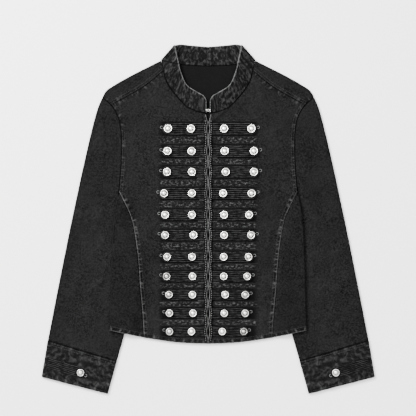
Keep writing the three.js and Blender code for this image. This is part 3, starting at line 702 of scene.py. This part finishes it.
# The sleeves: flat tubes that run under the side of the body, with soft folds where the arm would bend
# and where the cloth is pushed up by the body's edge.
SLEEVE_OUTER = [
    (216.5, 248.5), (224.5, 231), (233.5, 201), (250, 133), (271.5, 35), (292, -64), (311.5, -162),
    (328.5, -250),
]
SLEEVE_LOFT = 5.5
SLEEVE_CREASES = [
    (208, 34, 236, -24, 7, 2.2),
    (205, -14, 224, -74, 6, 2.4),
    (203, -62, 218, -134, 6, 2.2),
    (214, -118, 252, -166, 8, 1.8),
    (266, -26, 242, -92, 9, -1.6),
    (228, 196, 206, 120, 9, 1.8),
    (197, 172, 193, 92, 6, 1.8),
    (248, 64, 212, 44, 8, -1.6),
    (292, -118, 262, -152, 9, 1.4),
    (304, -200, 240, -238, 7, 1.4),
    (226, 236, 214, 176, 6, 1.2),
    (250, -196, 232, -262, 9, 1.2),
]


def tube(plan, upper, lower, cut):
    """The grid of a flat tube: one layer, a fold, the other layer back, and a fold. The folds take the
    place of cut columns at each side of a layer."""
    arc_in = fold_arc(plan[:, -3], plan[:, -1], upper[:, -1], lower[:, -1])
    arc_out = fold_arc(plan[:, 2], plan[:, 0], upper[:, 0], lower[:, 0])[:, ::-1]
    over, under = (raised(plan, z)[:, cut:-cut] for z in (upper, lower))
    return np.concatenate([over, arc_in, under[:, ::-1], arc_out], axis=1)


sleeve_rows, sleeve_cols = 110, 56
sleeve_waves = Waves(55, 21, 1.6)
armhole_even = stretch(ARMHOLE, sleeve_cols)
spread_out = np.clip((np.linspace(0, 11, sleeve_cols) - 6) / 5, 0, 1) ** 4
sewn_edge = armhole_even + np.column_stack([1.4 * spread_out, 0 * spread_out])
cuff_seam = np.linspace(SLEEVE_OUTER[-1], SLEEVE_INNER[-1], sleeve_cols)
sleeve_sides = stretch(SLEEVE_OUTER, sleeve_rows), stretch(SLEEVE_INNER, sleeve_rows)
sleeve_plan = panel(sewn_edge, cuff_seam, *sleeve_sides)
settled = ease(np.linspace(0, 1, sleeve_rows), 0.02, 0.16)[:, None]
sewn_low = BACK_MIDDLE + lift(armhole_even)[None]
sleeve_folds = 0.45 * sleeve_waves(sleeve_plan) + creases(sleeve_plan, SLEEVE_CREASES)
cuff_off, cuff_run = near(sleeve_plan, cuff_seam)
rim_off, _ = near(sleeve_plan, armhole_line)
body_edge = np.interp(sleeve_plan[..., 1], *np.array(SIDE_EDGE[::-1]).T[::-1])
under_body = ease(body_edge - sleeve_plan[..., 0], -14, 0)
under_body = under_body * fade_out(sleeve_plan[..., 1], 20, 60)
sleeve_folds = sleeve_folds * ease(rim_off, 2, 26) * ease(cuff_off, 0, 12) * (1 - under_body)
crown_share = np.sin(np.pi * np.linspace(0, 1, sleeve_cols))[None]
down_sleeve = np.linspace(0, 1, sleeve_rows)[:, None]
trough_phase = 2 * np.pi * (2 * np.linspace(0, 1, sleeve_cols)[None] + 0.3 * 12 * down_sleeve)
crown = -1.2 * np.sqrt(np.sin(np.pi * down_sleeve)) * (0.5 - 0.5 * np.cos(trough_phase))
sleeve_upper = (1 - settled) * (sewn_low + BODY_LOFT) + settled * (BACK_MIDDLE + SLEEVE_LOFT + crown)
sleeve_upper = sleeve_upper + sleeve_folds
sleeve_upper = sleeve_upper - 0.6 * fade_out(rim_off, 0, 2.2) - 0.5 * fade_out(cuff_off, 0, 2.0)
sleeve_lower = (1 - settled) * sewn_low + settled * BACK_MIDDLE
sleeve_grid = tube(sleeve_plan, sleeve_upper, sleeve_lower, 1)
sleeve_wear = wear(sleeve_grid[..., :2], [(cuff_seam, 0.35), (armhole_line, 0.12)])
# The sleeve's top is painted lighter along its middle and away from the armhole, as painted light; its folded
# edges and underside are painted darker, as painted shade.
top_fade_and_shading = 0.3 + 0.3 * crown_share * ease(rim_off, 4, 90) + 0.05 * sleeve_waves(sleeve_plan)
under_fade_and_shading = np.full((sleeve_rows, sleeve_grid.shape[1] - sleeve_cols + 2), 0.25)
sleeve_wear["fade_and_shading"] = np.concatenate([top_fade_and_shading[:, 1:-1], under_fade_and_shading], axis=1)
for side, name in SIDES:
    piece = shell(f"sleeve_tube_{name}", mirrored(sleeve_grid, side), DENIM, sleeve_wear, closed=True)
    dress(piece, DENIM_PLAIN, [f"sleeve_{name}"])

# The cuffs: deep double bands of the same denim, sewn to the sleeves' ends and stitched all round. They
# are puckered and worn pale at every edge.
CUFF_OUTER = [(328.5, -250), (341, -324.3)]
CUFF_INNER = [(188.3, -292), (207, -358.8)]
CUFF_WALL = 2.2
CUFF_LOFT = 5.0
cuff_rows, cuff_cols = 36, 74
cuff_outer, cuff_inner = (np.linspace(a, b, cuff_rows) for a, b in (CUFF_OUTER, CUFF_INNER))
cuff_plan = ruled(cuff_outer, cuff_inner, cuff_cols)
cuff_waves, cuff_puckers = Waves(34, 31), Waves(9, 33)
cuff_rim = [
    np.array([CUFF_OUTER[0], CUFF_INNER[0]], float),
    np.array([CUFF_OUTER[1], CUFF_INNER[1]], float),
    np.array(CUFF_OUTER, float),
    np.array(CUFF_INNER, float),
]


def cuff_top(xy):
    """The middle of the cuff's upper layer."""
    z = CUFF_WALL / 2 + 0.1 + CUFF_LOFT + 0.4 * cuff_waves(xy)
    for line in cuff_rim[:2]:
        off, run = near(xy, line)
        z = z + 0.3 * cuff_puckers(xy) * fade_out(off, 6, 14) - 0.6 * fade_out(off, 0, 2.4)
    return z


cuff_upper = cuff_top(cuff_plan)
cuff_lower = np.full(cuff_upper.shape, CUFF_WALL / 2)
cuff_grid = tube(cuff_plan, cuff_upper, cuff_lower, 2)
cuff_wear = wear(cuff_grid[..., :2], list(zip(cuff_rim, (0.5, 0.8, 0.7, 0.65))))
for side, name in SIDES:
    piece = shell(f"cuff_band_{name}", mirrored(cuff_grid, side), CUFF_WALL, cuff_wear, closed=True)
    dress(piece, DENIM_CLOUDED, [f"cuff_{name}"])

# The stand collar: a stiff double band that lies down over the fronts and turns up at each side of the
# neck. Its top edge is abraded to a pale line, and the whole band is puckered by its stitching.
COLLAR_FREE_EDGE = [(4, 244), (9, 252), (23, 260.4), (43.5, 274.7), (55.8, 301.4), (62, 326), (68.5, 356.5)]
COLLAR_SEAM_AROUND = [
    (3, 217), (24, 221), (44, 230.5), (59.7, 246.5), (74.5, 264.5), (85.6, 283.5), (91.2, 304), (96.3, 325),
]
COLLAR_BACK_EDGE = [(68.5, 356.5), (57, 358.2), (38, 356.4), (0, 353.2)]
COLLAR_BACK_SEAM = [(96.3, 325.0), (56, 316.6), (0, 313.4)]
COLLAR_WALL = 2.4
COLLAR_SLOPE = 0.11
collar_rows, collar_front, collar_back = 22, 90, 44
across = np.linspace(0, 1, collar_rows)[:, None, None]


def collar_plan(seam, edge, count):
    """The plan of a stretch of the collar, in rows from its seam to its free edge."""
    return stretch(seam, count) * (1 - across) + stretch(edge, count) * across


collar_front_plan = collar_plan(COLLAR_SEAM_AROUND, COLLAR_FREE_EDGE, collar_front)
collar_back_plan = collar_plan(COLLAR_BACK_SEAM, COLLAR_BACK_EDGE, collar_back)
collar_puckers, collar_waves = Waves(13, 41), Waves(30, 43)
width = np.linalg.norm(collar_front_plan[-1] - collar_front_plan[0], axis=-1)[None] * across[..., 0]
collar_upper = BACK_MIDDLE + BODY_LOFT + 0.5 + COLLAR_SLOPE * width
collar_relief = 0.4 * collar_puckers(collar_front_plan) + 0.3 * collar_waves(collar_front_plan)
collar_upper = collar_upper + collar_relief * ease(width, 1, 8)
collar_lower = COLLAR_WALL / 2 + 0.1 + 0 * collar_back_plan[..., 0]
fold_at = collar_front_plan[:, -1]
collar_arc = fold_arc(fold_at - np.array([0.7, 0.7]), fold_at, collar_upper[:, -1], collar_lower[:, 0])
collar_over, collar_under = raised(collar_front_plan, collar_upper), raised(collar_back_plan, collar_lower)
collar_half = np.concatenate([collar_over[:, :-1], collar_arc, collar_under[:, 1:]], axis=1)
collar_grid = np.concatenate([collar_half, mirrored(collar_half, -1)[:, -2::-1]], axis=1)
free_edge = chain(
    np.array([COLLAR_SEAM_AROUND[0], COLLAR_FREE_EDGE[0]], float),
    stretch(COLLAR_FREE_EDGE, 120),
    stretch(COLLAR_BACK_EDGE, 60),
)
folded_xy = folded(collar_grid[..., :2])
collar_seams = (stretch(COLLAR_SEAM_AROUND, 90), 0.5), (stretch(COLLAR_BACK_SEAM, 50), 0.45)
collar_wear = wear(folded_xy, [(free_edge, 1.0), *collar_seams])
collar_steps = np.linalg.norm(np.diff(collar_grid[8], axis=0), axis=-1)
collar_wear["run_mm"] = np.tile(np.concatenate([[0], np.cumsum(collar_steps)]), (collar_rows, 1))
collar = shell("stand_collar", collar_grid, COLLAR_WALL, collar_wear)
dress(collar, DENIM_BLOTCHED, ["collar"])


# The frogging: black soutache braid, laid side by side in nested loops that run out from the front edge,
# round the outer button and back. A small curl of the cord ends each strap.
CURL_MM = 2.6
CURL_HALF_MM = 0.55
BRAID_FLATNESS = 0.62
OUTER_BUTTONS = {
    1: [89, 94, 94, 89, 84, 88, 83, 80, 76, 76, 73],
    -1: [82, 83, 84, 90, 88, 88, 84, 85, 80, 79, 79],
}
INNER_BUTTONS = {
    1: [33, 34, 36, 31, 33, 33, 32, 32, 35, 33, 29],
    -1: [35, 34, 33, 33, 33, 30, 33, 32, 32, 31, 34],
}

braid_looks = {"Roughness": 0.75, "Specular_IOR_Level": 0.08}
braid_material, braid_tree, braid_shader = new_material("black_soutache_braid", **braid_looks)
run_node = add(braid_tree, "ShaderNodeAttribute", attribute_name="braid_run").outputs["Fac"]
facing_up = add(braid_tree, "ShaderNodeAttribute", attribute_name="facing_up").outputs["Fac"]
# Plaited yarns cross the cord at a slant, a pair every 2.2 mm. The top of the cord, where it faces up, is
# painted paler than its flanks as a painted highlight.
slant = add(braid_tree, "ShaderNodeMath", {0: facing_up, 1: 2.0}, operation="MULTIPLY").outputs[0]
phase = add(
    braid_tree, "ShaderNodeMath", {0: run_node, 1: 900.0, 2: slant}, operation="MULTIPLY_ADD"
).outputs[0]
plait = add(braid_tree, "ShaderNodeMath", {0: phase, 1: 1.0}, operation="PINGPONG").outputs[0]
fuzz = add(
    braid_tree,
    "ShaderNodeTexNoise",
    {"Vector": add(braid_tree, "ShaderNodeTexCoord").outputs["Object"], "Scale": 160.0, "Detail": 2.0},
).outputs["Fac"]
ridge_highlight = add(
    braid_tree,
    "ShaderNodeMapRange",
    {"Value": facing_up, "From Min": 0.86, "From Max": 1.0, "To Min": 0.0, "To Max": 1.0},
).outputs["Result"]
patchy = add(
    braid_tree,
    "ShaderNodeMapRange",
    {"Value": fuzz, "From Min": 0.38, "From Max": 0.62, "To Min": 0.12, "To Max": 1.0},
).outputs["Result"]
tone = add(braid_tree, "ShaderNodeMath", {0: ridge_highlight, 1: patchy}, operation="MULTIPLY").outputs[0]
ramp = add(braid_tree, "ShaderNodeValToRGB", {"Fac": tone})
ramp.color_ramp.elements[0].color, ramp.color_ramp.elements[1].color = linear("#010101"), linear("#252525")
# The cord's bare end, curled out past the outer button, is pale: partly worn, partly painted highlight.
curl_paleness = add(braid_tree, "ShaderNodeAttribute", attribute_name="scuffed_and_highlit").outputs["Fac"]
curl_tones = {0: curl_paleness, 6: ramp.outputs["Color"], 7: linear("#505150")}
scuffed_and_highlit = add(braid_tree, "ShaderNodeMix", curl_tones, data_type="RGBA")
braid_tree.links.new(scuffed_and_highlit.outputs[2], braid_shader.inputs["Base Color"])
braid_bump = add(braid_tree, "ShaderNodeBump", {"Strength": 0.5, "Distance": 0.0004, "Height": plait})
braid_tree.links.new(braid_bump.outputs[0], braid_shader.inputs["Normal"])


def new_tree(name, **inputs):
    """An empty Geometry Nodes tree with these inputs, each with its kind, and the sockets that give them."""
    tree = bpy.data.node_groups.new(name, "GeometryNodeTree")
    for socket, kind in inputs.items():
        tree.interface.new_socket(socket.replace("_", " "), in_out="INPUT", socket_type=f"NodeSocket{kind}")
    tree.interface.new_socket("Made", in_out="OUTPUT", socket_type="NodeSocketGeometry")
    return tree, add(tree, "NodeGroupInput").outputs


def end_tree(tree, grown, finish):
    """Ends a tree: what grew is plain geometry, smooth and of the given material."""
    real = add(tree, "GeometryNodeRealizeInstances", {"Geometry": grown.outputs[0]})
    smooth = add(tree, "GeometryNodeSetShadeSmooth", {"Geometry": real.outputs[0]})
    painted = add(tree, "GeometryNodeSetMaterial", {"Geometry": smooth.outputs[0], "Material": finish})
    add(tree, "NodeGroupOutput", {0: painted.outputs[0]})


braid_growth, given = new_tree("lay_braid", Routes="Geometry", Height="Float", Finish="Material")
half_width = add(braid_growth, "GeometryNodeInputNamedAttribute", {"Name": "half_width"}, data_type="FLOAT")
routes = add(braid_growth, "GeometryNodeMeshToCurve", {"Mesh": given["Routes"]})
sized = add(
    braid_growth, "GeometryNodeSetCurveRadius", {"Curve": routes.outputs[0], "Radius": half_width.outputs[0]}
)
walked = add(braid_growth, "GeometryNodeSplineParameter").outputs["Length"]
with_run = add(
    braid_growth,
    "GeometryNodeStoreNamedAttribute",
    {"Geometry": sized.outputs[0], "Name": "braid_run", "Value": walked},
    data_type="FLOAT",
    domain="POINT",
)
# The cord's section is an oval, one wide: the radius gives it its width and the height its thickness.
section = add(braid_growth, "GeometryNodeCurvePrimitiveCircle", {"Resolution": 12, "Radius": 1.0})
squeeze = add(braid_growth, "ShaderNodeCombineXYZ", {"X": 1.0, "Y": given["Height"], "Z": 1.0})
oval = add(braid_growth, "GeometryNodeTransform", {"Geometry": section.outputs[0], "Scale": squeeze.outputs[0]})
swept = add(
    braid_growth,
    "GeometryNodeCurveToMesh",
    {
        "Curve": with_run.outputs[0],
        "Profile Curve": oval.outputs[0],
        "Scale": half_width.outputs[0],
        "Fill Caps": True,
    },
)
normal = add(braid_growth, "GeometryNodeInputNormal").outputs[0]
facing = add(braid_growth, "ShaderNodeSeparateXYZ", {0: normal})
with_facing = add(
    braid_growth,
    "GeometryNodeStoreNamedAttribute",
    {"Geometry": swept.outputs[0], "Name": "facing_up", "Value": facing.outputs["Z"]},
    data_type="FLOAT",
    domain="POINT",
)
end_tree(braid_growth, with_facing, given["Finish"])


def grow(name, source, tree, **inputs):
    """Runs a Geometry Nodes tree on a source mesh and keeps what it made as a plain mesh object."""
    growth = source.modifiers.new("grow", "NODES")
    growth.node_group = tree
    sockets = {item.name: item.identifier for item in tree.interface.items_tree if item.in_out == "INPUT"}
    for key, value in inputs.items():
        growth[sockets[key.replace("_", " ")]] = value
    grown = source.evaluated_get(bpy.context.evaluated_depsgraph_get())
    mesh = bpy.data.meshes.new_from_object(grown)
    mesh.name = name
    piece = put_in_scene(name, mesh)
    bpy.data.objects.remove(source)
    face_out(piece)
    return piece


def wires(name, lines):
    """A mesh of open polylines, each an array of points in millimetres."""
    points, edges = [], []
    for line in lines:
        first = len(points)
        points += ((np.asarray(line) + PATTERN_SHIFT) * 0.001).tolist()
        edges += [(first + k, first + k + 1) for k in range(len(line) - 1)]
    mesh = bpy.data.meshes.new(name)
    mesh.from_pydata(points, edges, [])
    return put_in_scene(name, mesh)


def nested_loops(x_end, y, half, z, start=1.5, turn=0.0, origin=(0, 0)):
    """The routes of three braids: out along the top, round the end and back, and the curl at the tip."""
    lines, widths = [], []
    for ring in range(3):
        offset = half * (2 * ring + 1) / 6
        arc = np.linspace(np.pi / 2, -np.pi / 2, 11)
        out, back_in = np.linspace(start, x_end, 30)[:-1], np.linspace(x_end, start, 30)[1:]
        xs = np.concatenate([out, x_end + offset * np.cos(arc), back_in])
        ys = np.concatenate([np.full(29, offset), offset * np.sin(arc), np.full(29, -offset)])
        wobble = 0.35 * np.sin(xs * 0.21 + ring * 2.1 + y * 0.37)
        lines.append(np.column_stack([xs, ys + wobble, np.full(len(xs), z)]))
        widths.append(half / 6 * 0.86)
    turns = np.linspace(-2.2, 2.4, 18)
    curl_x = x_end + half + CURL_MM * (0.35 + np.cos(turns))
    lines.append(np.column_stack([curl_x, 3.0 + CURL_MM * np.sin(turns), np.full(18, z - 0.2)]))
    widths.append(CURL_HALF_MM)
    spin = np.array([[math.cos(turn), math.sin(turn), 0], [-math.sin(turn), math.cos(turn), 0], [0, 0, 1]])
    return [line @ spin + np.array([origin[0], origin[1] + y, 0]) for line in lines], widths


def lay_braid(name, lines, widths):
    """Lays a cord along each line, as wide as its half width says. The curls are marked pale, for wear and a
    painted highlight.
    """
    source = wires(f"{name}_routes", lines)
    half_widths = np.repeat(widths, [len(line) for line in lines])
    store(source.data, "half_width", half_widths * 0.001)
    store(source.data, "scuffed_and_highlit", half_widths == CURL_HALF_MM)
    return grow(name, source, braid_growth, Height=BRAID_FLATNESS, Finish=braid_material)


STRAP_Z = BACK_MIDDLE + BODY_LOFT + DENIM / 2 + 1.15
for side, name in SIDES:
    lines, widths = [], []
    for row, y in enumerate(STRAP_ROWS):
        made, wide = nested_loops(OUTER_BUTTONS[side][row], y, STRAP_HALF[row], STRAP_Z)
        lines += [mirrored(line, side) for line in made]
        widths += wide
    straps = lay_braid(f"braid_straps_{name}", lines, widths)
    lay_on_frame(straps, "black_braid", f"frogging_{name}")

# The cuff straps: loops of the same braid, sewn on along the cuff's slope. Each runs from the cuff's outer
# edge to past the button.
CUFF_BUTTON = np.array([261.5, -315.0])
CUFF_STRAP_START = np.array([331.5, -294.2])
run = CUFF_BUTTON - CUFF_STRAP_START
for side, name in SIDES:
    lines, widths = nested_loops(
        float(np.linalg.norm(run)), 0, 10.8, 0, start=0.0,
        turn=math.atan2(run[1], run[0]), origin=CUFF_STRAP_START
    )
    lines = [raised(line[:, :2], cuff_top(line[:, :2]) + CUFF_WALL / 2 + 0.9) for line in lines]
    strap = lay_braid(f"cuff_strap_{name}", [mirrored(line, side) for line in lines], widths)
    lay_on_frame(strap, "black_braid")

# The buttons: domed brass shells, silvered, with a rolled rim and a groove round the dome. Each is sewn
# down on a shank, so it leans a little.
silver, silver_tree, silver_shader = new_material("silvered_brass", Metallic=1.0, Roughness=0.3)
tarnish = add(
    silver_tree,
    "ShaderNodeTexNoise",
    {"Vector": add(silver_tree, "ShaderNodeTexCoord").outputs["Object"], "Scale": 90.0, "Detail": 1.0},
)
silver_ramp = add(silver_tree, "ShaderNodeValToRGB", {"Fac": tarnish.outputs["Fac"]})
for stop, position, tone in zip(silver_ramp.color_ramp.elements, (0.3, 0.62), ("#f0eeea", "#fbfaf8")):
    stop.position, stop.color = position, linear(tone)
# Dark polish stays in the groove between the dome and the rim, and the outer buttons of the lower straps
# rubbed against the sleeves and went dull.
silver_tone = silver_ramp.outputs["Color"]
for key, tone in (("recess", "#2e2d2b"), ("dull", "#3c3c3a")):
    share = add(silver_tree, "ShaderNodeAttribute", attribute_name=key).outputs["Fac"]
    tones = {0: share, 6: silver_tone, 7: linear(tone)}
    silver_tone = add(silver_tree, "ShaderNodeMix", tones, data_type="RGBA").outputs[2]
silver_tree.links.new(silver_tone, silver_shader.inputs["Base Color"])

# The profile from the top of the dome to the back: share of the radius, height in millimetres, and how
# much tarnish is left there.
BUTTON_PROFILE = [
    (0, 6.2, 0), (0.22, 6.0, 0), (0.38, 5.5, 0), (0.51, 4.7, 0.05), (0.61, 3.7, 0.35), (0.68, 2.6, 0.9),
    (0.73, 2.1, 1), (0.78, 2.3, 0.7), (0.84, 2.7, 0), (0.91, 2.6, 0), (0.97, 2.1, 0), (1.0, 1.4, 0.3),
    (0.98, 0.8, 0.8), (0.8, 0.4, 1), (0, 0.4, 1),
]
BUTTON_SIDES = 32


def turned(name, radius):
    """A button turned about its axis from its profile."""
    work = bmesh.new()
    rings = []
    tarnish_layer = work.verts.layers.float.new("recess")
    for r, h, left in BUTTON_PROFILE:
        count = 1 if r == 0 else BUTTON_SIDES
        ring = []
        for k in range(count):
            a = 2 * math.pi * k / BUTTON_SIDES
            out = radius * r * 0.001
            corner = work.verts.new((out * math.cos(a), out * math.sin(a), h * 0.001))
            corner[tarnish_layer] = left
            ring.append(corner)
        rings.append(ring)
    for upper, lower in zip(rings[:-1], rings[1:]):
        for k in range(BUTTON_SIDES):
            corners = [(upper, k), (lower, k), (lower, k + 1), (upper, k + 1)]
            work.faces.new(list(dict.fromkeys(ring[m % len(ring)] for ring, m in corners)))
    mesh = bpy.data.meshes.new(name)
    work.to_mesh(mesh)
    work.free()
    return put_in_scene(name, mesh)


button_growth, given = new_tree("sew_on_buttons", Seats="Geometry", Button="Object", Finish="Material")
lean = add(button_growth, "GeometryNodeInputNamedAttribute", {"Name": "lean"}, data_type="FLOAT_VECTOR")
girth = add(button_growth, "GeometryNodeInputNamedAttribute", {"Name": "girth"}, data_type="FLOAT")
shape_info = add(button_growth, "GeometryNodeObjectInfo", {"Object": given["Button"]})
turn_by = add(button_growth, "FunctionNodeEulerToRotation", {"Euler": lean.outputs[0]})
placed = add(
    button_growth,
    "GeometryNodeInstanceOnPoints",
    {
        "Points": given["Seats"],
        "Instance": shape_info.outputs["Geometry"],
        "Rotation": turn_by.outputs[0],
        "Scale": girth.outputs[0],
    },
)
end_tree(button_growth, placed, given["Finish"])

BUTTON_RADII = np.interp(range(11), (0, 10), (8.6, 7.5))
BUTTON_Z = BACK_MIDDLE + BODY_LOFT + 0.8 + 3.1
CUFF_BUTTON_Z = CUFF_WALL / 2 + 0.1 + CUFF_LOFT + CUFF_WALL / 2 + 2.1
# How dull each outer button has become, from the top strap down.
OUTER_DULL = {
    1: [0, 0.05, 0.05, 0.05, 0.1, 0.1, 0.2, 0.25, 0.35, 0.4, 0.7],
    -1: [0.05, 0.15, 0.15, 0.3, 0.2, 0.2, 0.35, 0.6, 0.5, 0.45, 0.45],
}
draw = random.Random(7)
seats, leans, girths, dulls, replaced = [], [], [], [], []
for row, y in enumerate(STRAP_ROWS):
    for side, side_name in SIDES:
        for places, place in ((INNER_BUTTONS, "inner"), (OUTER_BUTTONS, "outer")):
            seats.append((side * places[side][row], y, BUTTON_Z))
            leans.append((draw.uniform(-0.24, -0.08), draw.uniform(-0.24, -0.04), 0.0))
            girths.append(BUTTON_RADII[row] / BUTTON_RADII[0])
            dulls.append(OUTER_DULL[side][row] if place == "outer" else 0.05)
            replaced.append(f"button_{side_name}_{place}_{row + 1:02d}")
for side, side_name in SIDES:
    seats.append((side * CUFF_BUTTON[0], CUFF_BUTTON[1], CUFF_BUTTON_Z))
    leans.append((draw.uniform(-0.08, 0.08), draw.uniform(-0.08, 0.08), 0.0))
    girths.append(BUTTON_RADII[-1] / BUTTON_RADII[0])
    dulls.append(0.1)
    replaced.append(f"button_cuff_{side_name}")
button_shape = turned("button_shape", BUTTON_RADII[0])
source = wires("button_seats", [[seat] for seat in seats])
store(source.data, "lean", leans, "FLOAT_VECTOR")
store(source.data, "girth", girths)
store(source.data, "dull", dulls)
buttons = grow("domed_buttons", source, button_growth, Button=button_shape, Finish=silver)
bpy.data.objects.remove(button_shape)
lay_on_frame(buttons, "silvered_metal", *replaced)

# The topstitching: polyester thread, in two rows beside each seam and one row at the turned edges. It
# holds the seams flat, and the rows of the front edges were washed pale.
STITCH_PITCH_MM = 3.4
STITCH_MM = 2.5
THREAD_MM = 0.75
thread, pale_thread = (
    new_material(name, Base_Color=linear(tone), Roughness=0.7, Specular_IOR_Level=0.1)[0]
    for name, tone in (("grey_polyester_thread", "#2a2a2a"), ("washed_grey_polyester_thread", "#565756"))
)

stitch_growth, given = new_tree(
    "sew_stitches", Seams="Geometry", Pitch="Float", Stitch_length="Float", Thread="Float", Finish="Material"
)
seam_curves = add(stitch_growth, "GeometryNodeMeshToCurve", {"Mesh": given["Seams"]})
points = add(
    stitch_growth,
    "GeometryNodeCurveToPoints",
    {"Curve": seam_curves.outputs[0], "Length": given["Pitch"]},
    mode="LENGTH",
)
one = add(stitch_growth, "GeometryNodeMeshUVSphere", {"Segments": 6, "Rings": 4, "Radius": 0.5})
size = add(
    stitch_growth,
    "ShaderNodeCombineXYZ",
    {"X": given["Thread"], "Y": given["Thread"], "Z": given["Stitch length"]},
)
sewn = add(
    stitch_growth,
    "GeometryNodeInstanceOnPoints",
    {
        "Points": points.outputs["Points"],
        "Instance": one.outputs["Mesh"],
        "Rotation": points.outputs["Rotation"],
        "Scale": size.outputs[0],
    },
)
end_tree(stitch_growth, sewn, given["Finish"])


def beside(line, distance):
    """The line moved sideways, to its left for a positive distance."""
    along = np.gradient(line, axis=0)
    along /= np.linalg.norm(along, axis=1, keepdims=True)
    return line + np.column_stack([-along[:, 1], along[:, 0]]) * distance


def on_front(line):
    return raised(line, front_heights(line) + DENIM / 2 + 0.1)


def on_yoke(line):
    off, run = near(line, yoke_line)
    return raised(line, BACK_MIDDLE + BODY_LOFT + DENIM / 2 + 0.55 + 0.35 * np.sin(run * 0.95) + 0.1)


def on_cuff(line):
    return raised(line, cuff_top(line) + CUFF_WALL / 2 + 0.1)


def on_side(line):
    return raised(line, side_heights(line) + BODY_LOFT + DENIM / 2 + 0.1)


half_lines = []
body_armhole = stretch(ARMHOLE, 90, FRONT_YOKE_SHARE, PRINCESS_SHARE)
for gap in (2.0, 7.0):
    half_lines.append(on_front(beside(body_armhole, -gap)))
    half_lines.append(on_front(beside(stretch(PRINCESS_SEAM, 150, 0.01, 0.97), gap)))
    half_lines.append(on_yoke(beside(stretch(YOKE_SEAM, 60, 0.02, 0.97), gap)))
half_lines.append(on_front(beside(stretch(HEM_FRONT, 60, 0.02, 1), 8.5)))
half_lines.append(on_side(beside(np.linspace(PRINCESS_SEAM[0], SIDE_EDGE[0], 30), 8.5)))
band_stitches = band_middle + np.array([1.2, 0])
for end, gap in ((0, 3.0), (0, 7.0), (1, -4.0)):
    half_lines.append(on_cuff(beside(np.linspace(CUFF_OUTER[end], CUFF_INNER[end], 60)[3:-3], gap)))
both_halves = half_lines + [mirrored(line, -1) for line in half_lines]


def sew(name, lines, pitch, length, thickness, finish):
    """Sews stitches along the lines. A stitch's pitch, length and thickness are in millimetres."""
    sizes = {"Pitch": pitch * 0.001, "Stitch_length": length * 0.001, "Thread": thickness * 0.001}
    stitches = grow(name, wires(f"{name}_lines", lines), stitch_growth, **sizes, Finish=finish)
    lay_on_frame(stitches, "black_braid")


sew("topstitching", both_halves, STITCH_PITCH_MM, STITCH_MM, THREAD_MM, thread)
band_line = raised(band_stitches, BAND_Z + BAND_WALL / 2 + 0.35 * band_waves(band_stitches) + 0.1)
sew("edge_band_stitches", [band_line, mirrored(band_line, -1)], 4.6, 2.7, 1.5, pale_thread)

# Short sewn bars hold the lower braid of each strap beside the edge band.
BAR_MM, BAR_START_MM = 13.0, 7.5
bars = []
for row, y in enumerate(STRAP_ROWS[:-1]):
    for side in (1, -1):
        if side < 0 or row % 3 == 1:
            bar_x = np.linspace(BAR_START_MM, BAR_START_MM + BAR_MM * draw.uniform(0.7, 1.15), 8)
            bar_y = np.full(8, y - STRAP_HALF[row] - draw.uniform(1.4, 2.4)) + 0.3 * np.sin(bar_x)
            for offset in (0.7, -0.7):
                bar = np.column_stack([bar_x * side, bar_y + offset])
                bars.append(raised(bar, front_heights(bar) + DENIM / 2 + 0.2))
sew("sewn_bars", bars, 1.1, 1.5, 1.5, thread)

# The hook and eye: bent steel wire, silvered, sewn to the collar's two ends. Closed, it holds them
# together and shows as one small link.
HOOK_Y, HOOK_HALF, HOOK_WIRE = 222.5, 4.2, 0.5
turns = np.linspace(0, 2 * np.pi, 41)[:-1]
link = [
    (HOOK_HALF * np.sign(math.cos(t)) * abs(math.cos(t)) ** 0.6, HOOK_Y + 1.5 * math.sin(t), 8.6 + 0.55)
    for t in turns
]
hook_work = bmesh.new()
hook_rings = []
for k, centre in enumerate(link):
    tangent = np.array(link[(k + 1) % 40]) - np.array(link[k - 1])
    tangent /= np.linalg.norm(tangent)
    outward = np.array([tangent[1], -tangent[0], 0])
    ring = []
    for a in np.linspace(0, 2 * np.pi, 9)[:-1]:
        p = np.array(centre) + HOOK_WIRE * (math.cos(a) * outward + math.sin(a) * np.array([0, 0, 1]))
        ring.append(hook_work.verts.new(tuple((p + PATTERN_SHIFT) * 0.001)))
    hook_rings.append(ring)
for k in range(40):
    for m in range(8):
        nxt_ring = hook_rings[(k + 1) % 40]
        hook_work.faces.new([hook_rings[k][m], hook_rings[k][(m + 1) % 8], nxt_ring[(m + 1) % 8], nxt_ring[m]])
hook_mesh = bpy.data.meshes.new("hook_and_eye_link")
hook_work.to_mesh(hook_mesh)
hook_work.free()
hook = put_in_scene("hook_and_eye_link", hook_mesh)
face_out(hook)
hook_mesh.polygons.foreach_set("use_smooth", [True] * len(hook_mesh.polygons))
hook_mesh.materials.append(silver)
lay_on_frame(hook, "silvered_metal", "hook_and_eye")
